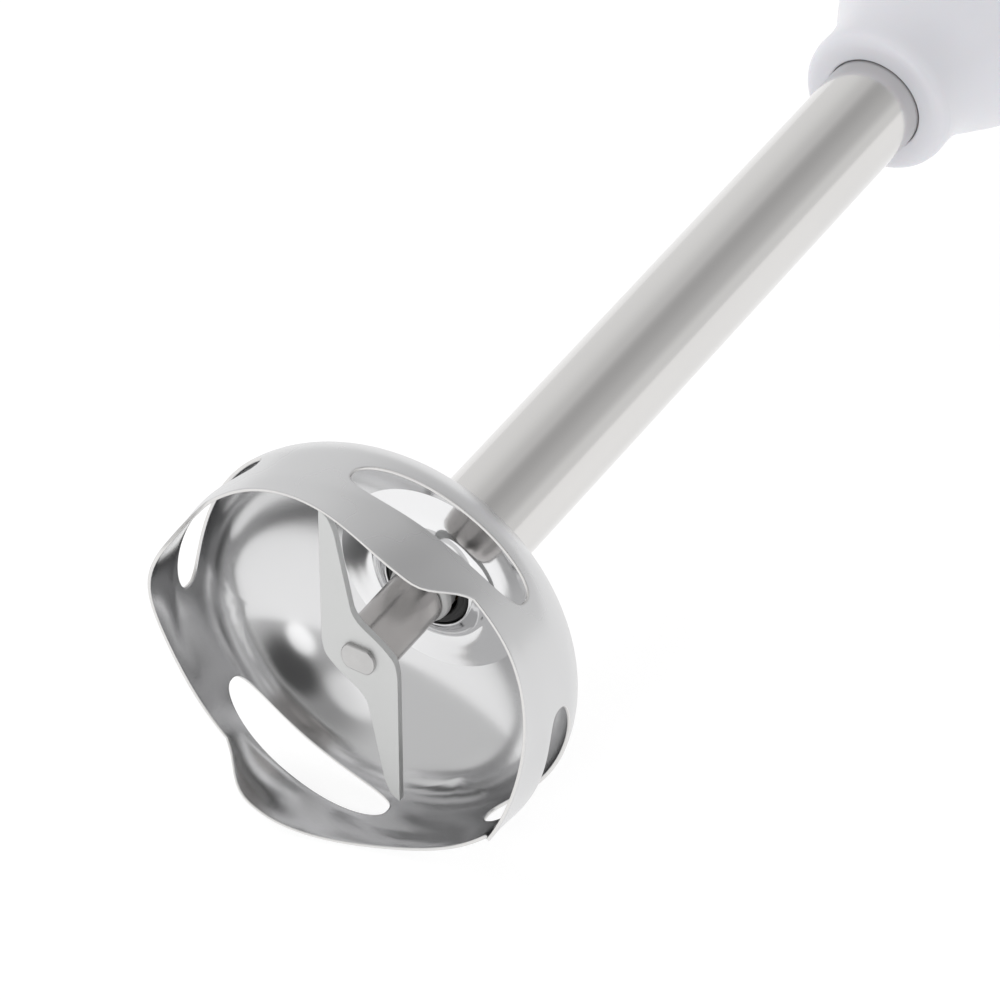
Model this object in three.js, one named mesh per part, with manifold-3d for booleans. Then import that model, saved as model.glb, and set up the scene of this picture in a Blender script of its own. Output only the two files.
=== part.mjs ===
// Immersion blender: a steel blending stick with a lobed bell guard, twist-locked on a motor body.
// Millimetres, +Z up. The blender lies on its side with its axis along +Y, the bell at the -Y end.
// Every piece is drawn in the tool frame: Z runs along the axis from the blade's front face towards
// the cord end, X points up and Y points to the right. One group then lays the tool frame down.
import * as THREE from 'three';
import { mergeVertices } from 'three/addons/utils/BufferGeometryUtils.js';
import Module from 'manifold-3d';

const wasm = await Module();
wasm.setup();

// ---------------------------------------------------------------- driving dimensions
const GAP = 0.3;                 // clearance between pieces that rest on each other
const RUNNING_FIT = 0.15;        // extra radius of a bore, so that a faceted shaft turns inside it
const ROUND = 24;                // segments around an ordinary round piece
const SMALL_ROUND = 12;          // segments around a small pin or shaft

const BELL_RADIUS = 33;          // outside of the bell's straight side wall
const BELL_SHEET = 0.6;          // thickness of the bell's steel sheet
const BELL_SEGMENTS = 80;        // a multiple of four keeps a facet corner on the floor line
const BELL_TURN = 31.5;          // turn of the bell's pattern about the axis, in degrees
const DOME_START = 5.4;          // where the side wall ends and the dome begins
const DOME_HEIGHT = 18.9;        // height of the dome's ellipse
const DOME_POWER = 1.94;         // 2 would be a true ellipse
const RIM_HIGH = -3.45;          // the rim between two lobes
const RIM_LOW = -9.6;            // the rim at the tip of a lobe
const LOBE_FALL_FROM = 10;       // degrees around the bell, repeated every quarter turn
const LOBE_TIP = 82;
const LOBE_RISE_TO = 104;
const LOBE_FALL_POWER = 1.65;
const LOBE_RISE_POWER = 1.25;
const CEILING_HOLE_RADIUS = 7.3; // opening for the seal in the bell's ceiling
const CEILING_LIP = 19.2;        // level of that opening's lip

const SLOT_CENTRE_ANGLE = -7;    // of the first slot, in degrees
const SLOT_HALF_ANGLE = 28.7;
const SLOT_LEVEL = 3.7;
const SLOT_HALF_HEIGHT = 3.7;
const SLOT_SKEW = 0.6;           // one end of a slot stands this much higher than its middle
const SLOT_POWER = 2.6;          // 2 is an ellipse, more is squarer
const SLOT_POINTS = 20;

const TUBE_RADIUS = 8.45;
const TUBE_WALL = 1;
const TUBE_START = 23.9;
const TUBE_END = 176;
const COLLAR_START = 159.6;        // where the tube goes into the plastic collar
const COLLAR_RADIUS = 13.2;
const SPLIT = 200;               // joint line between the stick and the motor body
const NECK_RADIUS = 22;          // both of them at the joint line
const SPIGOT_RADIUS = 15.7;      // motor body's spigot inside the collar
const SOCKET_RADIUS = 16.2;      // collar's socket around that spigot
const LUG_RADIUS = 17.4;         // bayonet lugs on the spigot
const TRACK_RADIUS = 17.9;       // tracks for the lugs in the collar
const LUG_COUNT = 3;
const LUG_HALF_ANGLE = 8;
const TWIST = 35;                // turn that frees the stick, in degrees

const SHAFT_RADIUS = 2.7;        // drive shaft of the blade
const BLADE_THICKNESS = 1.2;
const SLEEVE_RADIUS = 4.6;
const SLEEVE_END = 16.3;
const THRUST_RING_RADIUS = 5.2;
const THRUST_RING_END = 20;
const SEAL_BORE_RADIUS = 5.6;
const BUSH_LENGTH = 12;
const LOWER_BUSH_START = 27;
const UPPER_BUSH_START = 160;
const HEAD_PROUD = 0.7;          // shaft end standing in front of the blade
const HEX_SEGMENTS = 6;

const BODY_SEGMENTS = 28;
const BODY_WALL = 3;
const BODY_END = 364;            // flat end face of the motor body
const CAP_START = 348;           // joint line between housings and end cap
const REST_DEPTH = BELL_RADIUS;  // flat belly, level with the lowest line of the bell
const GRIP_UP = 0.96;            // height over width of the grip above the axis
const GRIP_DOWN = 1.21;          // and below it
const GRIP_FROM = 204;           // the round neck turns into the grip's section from here
const GRIP_TO = 256;             // to here
const INLAY_DEPTH = 1.7;         // thickness of the soft pads let into the housings

const MOTOR_SHAFT_RADIUS = 3;
const STATOR_HALF = 19.5;
const BORE_RADIUS = 11.6;        // stator bore around the armature
const CORE_RADIUS = 11;
const CORE_FROM = 280;
const CORE_TO = 304;
const CORE_TEETH = 12;
const COMMUTATOR_RADIUS = 7;
const FAN_RADIUS = 18;
const FAN_BLADES = 9;
const FRONT_BRACKET_START = 262;
const REAR_BRACKET_START = 329;
const BRACKET_THICKNESS = 3;
const BEARING_RADIUS = 6.3;
const BEARING_LENGTH = 6;

// Centre of each button along the axis, half of its length and the height of its crown.
const BUTTONS = {
  power: { at: 230, halfLength: 8, crown: 26.6 },
  turbo: { at: 253, halfLength: 7, crown: 28.4 },
};
const BUTTON_HALF_WIDTH = 6.2;
const BOARD_TOP = 8.7;           // level of the circuit board's upper face
const SWITCH_TOP = 13.9;         // level of the switch bodies' upper faces
const FLANGE_BOTTOM = 18.6;      // level of the buttons' retaining flanges
const SPRING_TURNS = 3;
const SPRING_WIRE = 0.32;

const DIAL_HEIGHT_ABOVE_AXIS = 5;
const DIAL_RADIUS = 11;
const GLAND_DROP = 14.5;         // cord gland below the axis

const TOOL_LENGTH = 371 - RIM_LOW;

// ---------------------------------------------------------------- finishes
const finishes = {
  polishedSteel: { color: 0xc9cbcd, roughness: 0.18, metalness: 1 },
  satinSteel: { color: 0xb9bbbe, roughness: 0.3, metalness: 1 },
  bladeSteel: { color: 0x8e8f8f, roughness: 0.45, metalness: 1 },
  darkSteel: { color: 0x6d6660, roughness: 0.35, metalness: 1 },
  shaftSteel: { color: 0xaaaaac, roughness: 0.3, metalness: 1 },
  whitePlastic: { color: 0xe9e9ee, roughness: 0.35, metalness: 0 },
  greyPlastic: { color: 0xb4b5b8, roughness: 0.4, metalness: 0 },
  softGrip: { color: 0x6b6d71, roughness: 0.75, metalness: 0 },
  blackRubber: { color: 0x141414, roughness: 0.8, metalness: 0 },
  nylon: { color: 0xd9d6cc, roughness: 0.5, metalness: 0 },
  bronze: { color: 0xa9814f, roughness: 0.4, metalness: 1 },
  laminations: { color: 0x5a5d62, roughness: 0.5, metalness: 1 },
  copper: { color: 0xb5673a, roughness: 0.35, metalness: 1 },
  carbon: { color: 0x2b2b2d, roughness: 0.6, metalness: 0 },
  board: { color: 0x2e6b45, roughness: 0.5, metalness: 0 },
  switchPlastic: { color: 0x23262b, roughness: 0.5, metalness: 0 },
  springSteel: { color: 0xc4c6c8, roughness: 0.3, metalness: 1 },
};

// ---------------------------------------------------------------- solids
const radians = THREE.MathUtils.degToRad;

// Welds a geometry's shared points, drops its zero-area faces and turns its faces outwards.
function closed(geometry) {
  const bare = geometry.clone();
  bare.deleteAttribute('normal');
  bare.deleteAttribute('uv');
  const welded = mergeVertices(bare, 1e-4);
  const corner = welded.attributes.position;
  const index = welded.index.array;
  const a = new THREE.Vector3();
  const b = new THREE.Vector3();
  const c = new THREE.Vector3();
  const kept = [];
  let volume = 0;
  for (let i = 0; i < index.length; i += 3) {
    const [p, q, r] = [index[i], index[i + 1], index[i + 2]];
    if (p === q || q === r || r === p) continue;
    a.fromBufferAttribute(corner, p);
    b.fromBufferAttribute(corner, q);
    c.fromBufferAttribute(corner, r);
    volume += a.dot(b.cross(c));
    kept.push(p, q, r);
  }
  if (volume < 0) kept.reverse();
  welded.setIndex(kept);
  return welded;
}

function toSolid(geometry) {
  const shell = closed(geometry);
  return new wasm.Manifold(new wasm.Mesh({
    numProp: 3,
    vertProperties: new Float32Array(shell.attributes.position.array),
    triVerts: new Uint32Array(shell.index.array),
  }));
}

function toGeometry(solid) {
  const mesh = solid.getMesh();
  const geometry = new THREE.BufferGeometry();
  geometry.setAttribute('position', new THREE.BufferAttribute(new Float32Array(mesh.vertProperties), 3));
  geometry.setIndex(Array.from(mesh.triVerts));
  return geometry;
}

function cut(geometry, ...tools) {
  let solid = toSolid(geometry);
  for (const tool of tools) solid = solid.subtract(toSolid(tool));
  return toGeometry(solid);
}

function join(geometry, ...others) {
  let solid = toSolid(geometry);
  for (const other of others) solid = solid.add(toSolid(other));
  return toGeometry(solid);
}

function common(geometry, other) {
  return toGeometry(toSolid(geometry).intersect(toSolid(other)));
}

// A profile of [radius, level] points turned about the axis.
function revolve(profile, segments = ROUND) {
  const points = profile.map(([radius, level]) => new THREE.Vector2(radius, level));
  return new THREE.LatheGeometry(points, segments).rotateX(Math.PI / 2);
}

function rod(radius, from, to, segments = ROUND) {
  return revolve([[0, from], [radius, from], [radius, to], [0, to]], segments);
}

function ring(inner, outer, from, to, segments = ROUND) {
  return revolve([[inner, from], [outer, from], [outer, to], [inner, to], [inner, from]], segments);
}

function prism(outline, from, to) {
  const shape = new THREE.Shape(outline.map(([x, y]) => new THREE.Vector2(x, y)));
  return new THREE.ExtrudeGeometry(shape, { depth: to - from, bevelEnabled: false }).translate(0, 0, from);
}

function block(x0, x1, y0, y1, z0, z1) {
  const box = new THREE.BoxGeometry(x1 - x0, y1 - y0, z1 - z0);
  return box.translate((x0 + x1) / 2, (y0 + y1) / 2, (z0 + z1) / 2);
}

// Part of a ring between two angles, in degrees from up towards the right.
function sector(inner, outer, start, end, from, to) {
  const shape = new THREE.Shape();
  shape.absarc(0, 0, outer, radians(start), radians(end), false);
  shape.absarc(0, 0, inner, radians(end), radians(start), true);
  const curveSegments = Math.max(1, Math.round((end - start) / 28));
  const options = { depth: to - from, bevelEnabled: false, curveSegments };
  return new THREE.ExtrudeGeometry(shape, options).translate(0, 0, from);
}

// A plate with rounded corners, seen from above, between two heights.
function plaque(centre, halfLength, halfWidth, corner, bottom, top) {
  const shape = new THREE.Shape();
  const u = halfLength - corner;
  const v = halfWidth - corner;
  shape.absarc(centre + u, v, corner, 0, Math.PI / 2, false);
  shape.absarc(centre - u, v, corner, Math.PI / 2, Math.PI, false);
  shape.absarc(centre - u, -v, corner, Math.PI, 1.5 * Math.PI, false);
  shape.absarc(centre + u, -v, corner, 1.5 * Math.PI, 2 * Math.PI, false);
  const options = { depth: top - bottom, bevelEnabled: false, curveSegments: 2 };
  const plate = new THREE.ExtrudeGeometry(shape, options);
  const along = new THREE.Vector3(0, 0, 1);
  const right = new THREE.Vector3(0, 1, 0);
  const up = new THREE.Vector3(1, 0, 0);
  plate.applyMatrix4(new THREE.Matrix4().makeBasis(along, right, up));
  return plate.translate(bottom, 0, 0);
}

// A rod that stands upright in the tool frame.
function post(radius, level, side, bottom, top, segments = SMALL_ROUND) {
  return rod(radius, bottom, top, segments).rotateY(Math.PI / 2).translate(0, side, level);
}

// ---------------------------------------------------------------- placing
const object = new THREE.Group();

const lying = new THREE.Group();
lying.quaternion.setFromRotationMatrix(new THREE.Matrix4().makeBasis(
  new THREE.Vector3(0, 0, 1),
  new THREE.Vector3(1, 0, 0),
  new THREE.Vector3(0, 1, 0),
));
lying.position.set(0, -(RIM_LOW + TOOL_LENGTH / 2), REST_DEPTH);
object.add(lying);

const turned = new THREE.Group();
turned.rotation.z = radians(BELL_TURN);
lying.add(turned);

function place(name, geometry, finish, parent = lying) {
  const mesh = new THREE.Mesh(closed(geometry), new THREE.MeshStandardMaterial(finishes[finish]));
  mesh.name = name;
  parent.add(mesh);
}

// ---------------------------------------------------------------- bell guard
// Level of the rim at an angle in degrees: four lobes that fall slowly and rise quickly.
function rimLevel(angle) {
  const turn = LOBE_FALL_FROM + THREE.MathUtils.euclideanModulo(angle - LOBE_FALL_FROM, 90);
  const fall = Math.min(1, (turn - LOBE_FALL_FROM) / (LOBE_TIP - LOBE_FALL_FROM));
  const rise = Math.max(0, Math.min(1, (turn - LOBE_TIP) / (LOBE_RISE_TO - LOBE_TIP)));
  const down = THREE.MathUtils.smoothstep(fall ** LOBE_FALL_POWER, 0, 1);
  const up = THREE.MathUtils.smootherstep(rise ** LOBE_RISE_POWER, 0, 1);
  return RIM_HIGH - (RIM_HIGH - RIM_LOW) * down * (1 - up);
}

function domeLevel(radius, base, height) {
  return DOME_START + height * (1 - (radius / base) ** DOME_POWER) ** (1 / DOME_POWER);
}

function bellProfile() {
  const inside = BELL_RADIUS - BELL_SHEET;
  const flat = RIM_LOW;
  const profile = [[BELL_RADIUS, flat], [BELL_RADIUS, DOME_START]];
  for (const share of [0.93, 0.76, 0.52]) {
    const radius = BELL_RADIUS * share;
    profile.push([radius, domeLevel(radius, BELL_RADIUS, DOME_HEIGHT)]);
  }
  profile.push([TUBE_RADIUS, TUBE_START - GAP]);
  profile.push([CEILING_HOLE_RADIUS, TUBE_START - GAP]);
  profile.push([CEILING_HOLE_RADIUS, CEILING_LIP]);
  profile.push([10, 20.9]);
  for (const share of [0.52, 0.76, 0.93]) {
    const radius = inside * share;
    profile.push([radius, domeLevel(radius, inside, DOME_HEIGHT - BELL_SHEET)]);
  }
  profile.push([inside, DOME_START], [inside, flat], [BELL_RADIUS, flat]);
  return profile;
}

// The wall below the dome is stretched so that its lower edge follows the lobes.
function shapeRim(geometry) {
  const position = geometry.attributes.position;
  for (let i = 0; i < position.count; i += 1) {
    const level = position.getZ(i);
    if (level < DOME_START) {
      const angle = THREE.MathUtils.radToDeg(Math.atan2(position.getY(i), position.getX(i)));
      const share = (DOME_START - level) / (DOME_START - RIM_LOW);
      position.setZ(i, DOME_START + share * (rimLevel(angle) - DOME_START));
    }
  }
  return geometry;
}

function slotCutter(quarter) {
  const outline = [];
  for (let i = 0; i < SLOT_POINTS; i += 1) {
    const t = (2 * Math.PI * i) / SLOT_POINTS;
    const across = Math.sign(Math.cos(t)) * Math.abs(Math.cos(t)) ** (2 / SLOT_POWER);
    const along = Math.sign(Math.sin(t)) * Math.abs(Math.sin(t)) ** (2 / SLOT_POWER);
    const side = BELL_RADIUS * Math.sin(radians(SLOT_HALF_ANGLE) * across);
    outline.push([-(SLOT_LEVEL + SLOT_HALF_HEIGHT * along + SLOT_SKEW * Math.cos(t)), side]);
  }
  const cutter = prism(outline, BELL_RADIUS / 2, BELL_RADIUS + 5).rotateY(Math.PI / 2);
  return cutter.rotateZ(radians(SLOT_CENTRE_ANGLE + 90 * quarter));
}

function bellGuard() {
  const shell = shapeRim(revolve(bellProfile(), BELL_SEGMENTS));
  return cut(shell, slotCutter(0), slotCutter(1), slotCutter(2), slotCutter(3));
}

// ---------------------------------------------------------------- blade and its shaft
// Half of the blade's outline; the other half is the same, turned by half a turn.
const WING = [
  [-2.8, -6.1], [18.8, -19.3], [18.9, -17.6], [17.4, -15.4],
  [6.4, -5.4], [5.6, -3.3], [5.5, 1], [4.8, 4.3],
];

function shaftSection(radius) {
  const section = [];
  const flat = 0.8 * radius;
  for (let i = 0; i < SMALL_ROUND; i += 1) {
    const angle = (2 * Math.PI * i) / SMALL_ROUND;
    section.push([radius * Math.cos(angle), THREE.MathUtils.clamp(radius * Math.sin(angle), -flat, flat)]);
  }
  return section.map(([x, y]) => {
    const turn = radians(60);
    return [x * Math.cos(turn) - y * Math.sin(turn), x * Math.sin(turn) + y * Math.cos(turn)];
  });
}

function blade() {
  const outline = [...WING, ...WING.map(([x, y]) => [-x, -y])];
  const hole = prism(shaftSection(SHAFT_RADIUS + GAP), -1, BLADE_THICKNESS + 1);
  return cut(prism(outline, 0, BLADE_THICKNESS), hole);
}

function driveShaft() {
  const head = prism(shaftSection(SHAFT_RADIUS), -HEAD_PROUD, BLADE_THICKNESS + 2 * GAP);
  const length = rod(SHAFT_RADIUS, BLADE_THICKNESS + GAP, 186, SMALL_ROUND);
  return join(head, length);
}

function shaftCoupling() {
  const cup = revolve([
    [SHAFT_RADIUS + GAP, 178], [6, 178], [8, 186], [8, 198], [6.6, 198], [6.6, 187],
    [SHAFT_RADIUS + GAP, 187], [SHAFT_RADIUS + GAP, 178],
  ], ROUND);
  const hexWall = ring(4.9, 6.8, 188, 197.5, HEX_SEGMENTS);
  return join(cup, hexWall);
}

function aroundShaft(outer, from, to) {
  return ring(SHAFT_RADIUS + GAP, outer, from, to);
}

function shaftSeal() {
  return ring(SEAL_BORE_RADIUS, CEILING_HOLE_RADIUS - GAP, CEILING_LIP - 0.2, TUBE_START - GAP);
}

place('bell_guard', bellGuard(), 'polishedSteel', turned);
place('blade', blade(), 'bladeSteel', turned);
place('drive_shaft', driveShaft(), 'shaftSteel', turned);
place('blade_sleeve', aroundShaft(SLEEVE_RADIUS, BLADE_THICKNESS + GAP, SLEEVE_END), 'darkSteel');
place('thrust_ring', aroundShaft(THRUST_RING_RADIUS, SLEEVE_END + GAP, THRUST_RING_END), 'greyPlastic');
place('shaft_coupling', shaftCoupling(), 'nylon');
place('shaft_seal', shaftSeal(), 'blackRubber');

// ---------------------------------------------------------------- stick
function stickCollar() {
  const top = SPLIT - GAP / 2;
  const shell = revolve([
    [TUBE_RADIUS + GAP, COLLAR_START], [9.4, COLLAR_START], [11.6, COLLAR_START + 0.7],
    [12.7, COLLAR_START + 1.5], [COLLAR_RADIUS, COLLAR_START + 3],
    [COLLAR_RADIUS, 167.5], [14.4, 173], [17.4, 179.5], [20.2, 186], [21.6, 193], [NECK_RADIUS, top],
    [SOCKET_RADIUS, top], [SOCKET_RADIUS, 186], [10.5, 184], [10.5, TUBE_END + GAP],
    [TUBE_RADIUS + GAP, TUBE_END + GAP], [TUBE_RADIUS + GAP, COLLAR_START],
  ], ROUND);
  const tracks = [];
  for (let i = 0; i < LUG_COUNT; i += 1) {
    const at = (360 / LUG_COUNT) * i;
    const slack = LUG_HALF_ANGLE + 2;
    // The collar turns towards greater angles, so the track runs the other way from the lug.
    const free = at - TWIST;
    tracks.push(sector(SOCKET_RADIUS - 1, TRACK_RADIUS, free - slack, at + slack, 188.5, 193));
    tracks.push(sector(SOCKET_RADIUS - 1, TRACK_RADIUS, free - slack, free + slack, 192, top + 1));
  }
  return cut(shell, ...tracks);
}

// A plain bearing for the drive shaft inside the tube.
function bush(start) {
  const outside = TUBE_RADIUS - TUBE_WALL - GAP;
  return ring(SHAFT_RADIUS + RUNNING_FIT, outside, start, start + BUSH_LENGTH, SMALL_ROUND);
}

place('shaft_tube', ring(TUBE_RADIUS - TUBE_WALL, TUBE_RADIUS, TUBE_START, TUBE_END), 'satinSteel');
place('lower_bush', bush(LOWER_BUSH_START), 'bronze');
place('upper_bush', bush(UPPER_BUSH_START), 'bronze');
place('stick_collar', stickCollar(), 'whitePlastic');

// ---------------------------------------------------------------- motor body housings
// Radius of the motor body's side at a level, from the neck to the flat end face.
const BODY_SIDE = [
  [NECK_RADIUS, SPLIT + GAP / 2], [22.6, 208], [25.2, 227], [27.6, 248], [28.7, 272], [28.8, 300],
  [27.8, 332], [26.2, 350], [24.4, 358], [22, 362], [19, BODY_END],
];

// Turns a round section into the grip's: a little lower above the axis, deeper and flat below it.
function shapeGrip(geometry, inset) {
  const position = geometry.attributes.position;
  for (let i = 0; i < position.count; i += 1) {
    const blend = THREE.MathUtils.smoothstep(position.getZ(i), GRIP_FROM, GRIP_TO);
    const up = position.getX(i);
    const scale = THREE.MathUtils.lerp(1, up > 0 ? GRIP_UP : GRIP_DOWN, blend);
    position.setX(i, Math.max(up * scale, -(REST_DEPTH - inset)));
  }
  return geometry;
}

// The motor body's outside, moved inwards by an inset.
function bodyForm(inset, from, to) {
  const side = BODY_SIDE.map(([radius, level]) => [radius - inset, level]);
  const kept = side.filter(([, level]) => level > from && level < to);
  const radiusAt = (level) => {
    const next = Math.max(1, side.findIndex((point) => point[1] >= level));
    const [r0, z0] = side[next - 1];
    const [r1, z1] = side[next];
    return r0 + ((r1 - r0) * (level - z0)) / (z1 - z0);
  };
  const profile = [[0, from], [radiusAt(from), from], ...kept, [radiusAt(to), to], [0, to]];
  return shapeGrip(revolve(profile, BODY_SEGMENTS), inset);
}

const bodyStart = SPLIT + GAP / 2;
const cavity = bodyForm(BODY_WALL, bodyStart + 2.4, CAP_START + 5);
const neckHole = rod(SPIGOT_RADIUS + GAP, bodyStart - 1, bodyStart + 4);
const bodyShell = cut(bodyForm(0, bodyStart, CAP_START - GAP), cavity, neckHole);
const padBand = [296, 37, 14, 9, -50, -5];
const panelBand = [241, 29, 10.5, 9, 5, 50];

// A skin of the motor body's outside under a plaque-shaped patch.
function inlay(band, margin, depth) {
  const [centre, halfLength, halfWidth, corner, bottom, top] = band;
  const patch = plaque(centre, halfLength + margin, halfWidth + margin, corner + margin, bottom, top);
  const skin = cut(bodyForm(-1, bodyStart, BODY_END), bodyForm(depth, bodyStart, BODY_END));
  return common(skin, patch);
}

const SCREWS = [
  { name: 'housing_screw_1', level: 211, side: 13.5, head: -17 },
  { name: 'housing_screw_2', level: 211, side: -13.5, head: -17 },
  { name: 'housing_screw_3', level: 341, side: 18.5, head: -20 },
  { name: 'housing_screw_4', level: 341, side: -18.5, head: -20 },
];

function buttonHoles() {
  return Object.values(BUTTONS).map(({ at, halfLength }) => (
    plaque(at, halfLength + 0.4, BUTTON_HALF_WIDTH + 0.4, 6, FLANGE_BOTTOM, 40)
  ));
}

function upperHousing() {
  const half = common(bodyShell, block(GAP / 2, 60, -60, 60, 190, 360));
  const bosses = SCREWS.map(({ level, side }) => common(
    post(3.4, level, side, GAP / 2, 40),
    bodyForm(BODY_WALL / 2, bodyStart, CAP_START),
  ));
  const pilots = SCREWS.map(({ level, side }) => post(1.4, level, side, -1, 9));
  const recess = inlay(panelBand, GAP, INLAY_DEPTH + GAP);
  return cut(join(half, ...bosses), ...pilots, recess, ...buttonHoles());
}

function lowerHousing() {
  const half = common(bodyShell, block(-60, -GAP / 2, -60, 60, 190, 360));
  const bosses = SCREWS.map(({ level, side }) => common(
    post(4.6, level, side, -40, -GAP / 2),
    bodyForm(BODY_WALL / 2, bodyStart, CAP_START),
  ));
  const shanks = SCREWS.map(({ level, side }) => post(1.8, level, side, -40, 1));
  const heads = SCREWS.map(({ level, side, head }) => post(3.4, level, side, -40, head + 3));
  const recess = inlay(padBand, GAP, INLAY_DEPTH + GAP);
  return cut(join(half, ...bosses), ...shanks, ...heads, recess);
}

function screw({ level, side, head }) {
  const seat = head + 3 - GAP;
  const profile = [[0, head], [2.2, head], [3, head + 0.8], [3, seat], [1.2, seat], [1.2, 7], [0, 8.2]];
  const turnedScrew = revolve(profile, 12);
  const slot = block(-1.5, 1.5, -0.35, 0.35, head - 1, head + 1.5);
  const crossSlot = slot.clone().rotateZ(Math.PI / 2);
  return cut(turnedScrew, join(slot, crossSlot)).rotateY(Math.PI / 2).translate(0, side, level);
}

function controlPanel() {
  const skin = inlay(panelBand, 0, INLAY_DEPTH);
  const flush = common(skin, bodyForm(-0.4, bodyStart, BODY_END));
  return cut(flush, ...buttonHoles());
}

function gripPad() {
  return common(inlay(padBand, 0, INLAY_DEPTH), bodyForm(0, bodyStart, BODY_END));
}

function endCap() {
  const shell = cut(
    bodyForm(0, CAP_START, BODY_END),
    bodyForm(BODY_WALL, CAP_START - 1, BODY_END - 3),
    rod(3.5, BODY_END - 5, BODY_END + 1, SMALL_ROUND).translate(DIAL_HEIGHT_ABOVE_AXIS, 0, 0),
    rod(5, BODY_END - 5, BODY_END + 1, SMALL_ROUND).translate(-GLAND_DROP, 0, 0),
  );
  const vents = [];
  for (let i = -2; i <= 2; i += 1) {
    vents.push(block(4 * i - 0.9, 4 * i + 0.9, -40, 40, CAP_START + 2.5, CAP_START + 9));
  }
  return cut(shell, ...vents);
}

place('upper_housing', upperHousing(), 'whitePlastic');
place('lower_housing', lowerHousing(), 'whitePlastic');
place('control_panel', controlPanel(), 'greyPlastic');
place('grip_pad', gripPad(), 'softGrip');
place('end_cap', endCap(), 'greyPlastic');
for (const spec of SCREWS) place(spec.name, screw(spec), 'shaftSteel');

// ---------------------------------------------------------------- spigot with bayonet lugs
function nozzleSpigot() {
  const tube = revolve([
    [11, 187], [SPIGOT_RADIUS, 187], [SPIGOT_RADIUS, 203], [18.6, 203], [18.6, 206], [11, 206], [11, 187],
  ], ROUND);
  const lugs = [];
  for (let i = 0; i < LUG_COUNT; i += 1) {
    const at = (360 / LUG_COUNT) * i;
    lugs.push(sector(SPIGOT_RADIUS - 1, LUG_RADIUS, at - LUG_HALF_ANGLE, at + LUG_HALF_ANGLE, 189, 192.5));
  }
  return join(tube, ...lugs);
}

place('bayonet_spigot', nozzleSpigot(), 'nylon');

// ---------------------------------------------------------------- motor, still parts
// Room for a field coil beside the bore.
function coilWindow(centre) {
  return sector(BORE_RADIUS - 2, 16.6, centre - 42, centre + 42, CORE_FROM - 1, CORE_TO + 1);
}

function statorCore() {
  const stack = plaqueAlong(STATOR_HALF, 9, CORE_FROM, CORE_TO);
  return cut(
    stack,
    rod(BORE_RADIUS, CORE_FROM - 1, CORE_TO + 1),
    coilWindow(90),
    coilWindow(270),
  );
}

// A square with rounded corners, drawn out along the axis.
function plaqueAlong(half, corner, from, to) {
  const shape = new THREE.Shape();
  const u = half - corner;
  for (const [x, y, start] of [[u, u, 0], [-u, u, 1], [-u, -u, 2], [u, -u, 3]]) {
    shape.absarc(x, y, corner, (start * Math.PI) / 2, ((start + 1) * Math.PI) / 2, false);
  }
  const options = { depth: to - from, bevelEnabled: false, curveSegments: 2 };
  return new THREE.ExtrudeGeometry(shape, options).translate(0, 0, from);
}

// A saddle coil: a band bent around the axis, with a window for its pole.
function fieldCoil(centre) {
  const band = sector(12.1, 16.2, centre - 84, centre + 84, CORE_FROM - 5, CORE_TO + 5);
  const pole = sector(11, 18, centre - 50, centre + 50, CORE_FROM - GAP, CORE_TO + GAP);
  return cut(band, pole);
}

// A spider that holds a bearing, with four windows for the cooling air.
function bracket(start) {
  const end = start + BRACKET_THICKNESS;
  const plate = ring(BEARING_RADIUS + GAP, 20, start, end);
  const windows = [45, 135, 225, 315].map((at) => sector(9.5, 16.5, at - 26, at + 26, start - 1, end + 1));
  return cut(plate, ...windows);
}

// A plain bearing for the motor's shaft, standing out of its bracket on both sides.
function bearing(bracketStart) {
  const start = bracketStart - (BEARING_LENGTH - BRACKET_THICKNESS) / 2;
  return ring(MOTOR_SHAFT_RADIUS + RUNNING_FIT, BEARING_RADIUS, start, start + BEARING_LENGTH, SMALL_ROUND);
}

function brushHolder(sign) {
  const y0 = Math.min(sign * 8.6, sign * 20);
  const y1 = Math.max(sign * 8.6, sign * 20);
  return cut(block(-3.6, 3.6, y0, y1, 313.5, 322.5), block(-2.5, 2.5, y0 - 1, y1 + 1, 315, 321));
}

function brush(sign) {
  const y0 = Math.min(sign * (COMMUTATOR_RADIUS + 0.1), sign * 17);
  const y1 = Math.max(sign * (COMMUTATOR_RADIUS + 0.1), sign * 17);
  const carbon = block(-2.2, 2.2, y0, y1, 315.3, 320.7);
  return cut(carbon, rod(COMMUTATOR_RADIUS + 0.15, 310, 326));
}

place('stator_core', statorCore(), 'laminations');
place('upper_field_coil', fieldCoil(0), 'copper');
place('lower_field_coil', fieldCoil(180), 'copper');
place('front_bracket', bracket(FRONT_BRACKET_START), 'satinSteel');
place('rear_bracket', bracket(REAR_BRACKET_START), 'satinSteel');
place('front_bearing', bearing(FRONT_BRACKET_START), 'bronze');
place('rear_bearing', bearing(REAR_BRACKET_START), 'bronze');
place('right_brush_holder', brushHolder(1), 'bronze');
place('left_brush_holder', brushHolder(-1), 'bronze');
place('right_brush', brush(1), 'carbon');
place('left_brush', brush(-1), 'carbon');

// ---------------------------------------------------------------- motor, turning parts
function toothedSection(tip, root, margin) {
  const section = [];
  const pitch = 360 / CORE_TEETH;
  const slot = margin > 0 ? 3.2 : 4.4;
  for (let i = 0; i < CORE_TEETH; i += 1) {
    const at = pitch * i;
    const corners = [[-pitch / 2 + slot, tip], [0, tip], [pitch / 2 - slot, tip]];
    for (const [turn, radius] of [...corners, [pitch / 2 - slot, root], [pitch / 2 + slot, root]]) {
      const angle = radians(at + turn);
      section.push([radius * Math.cos(angle), radius * Math.sin(angle)]);
    }
  }
  return section;
}

function armatureCore() {
  const hole = rod(MOTOR_SHAFT_RADIUS + GAP, CORE_FROM - 1, CORE_TO + 1, SMALL_ROUND);
  return cut(prism(toothedSection(CORE_RADIUS, 6.4, 0), CORE_FROM, CORE_TO), hole);
}

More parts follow.
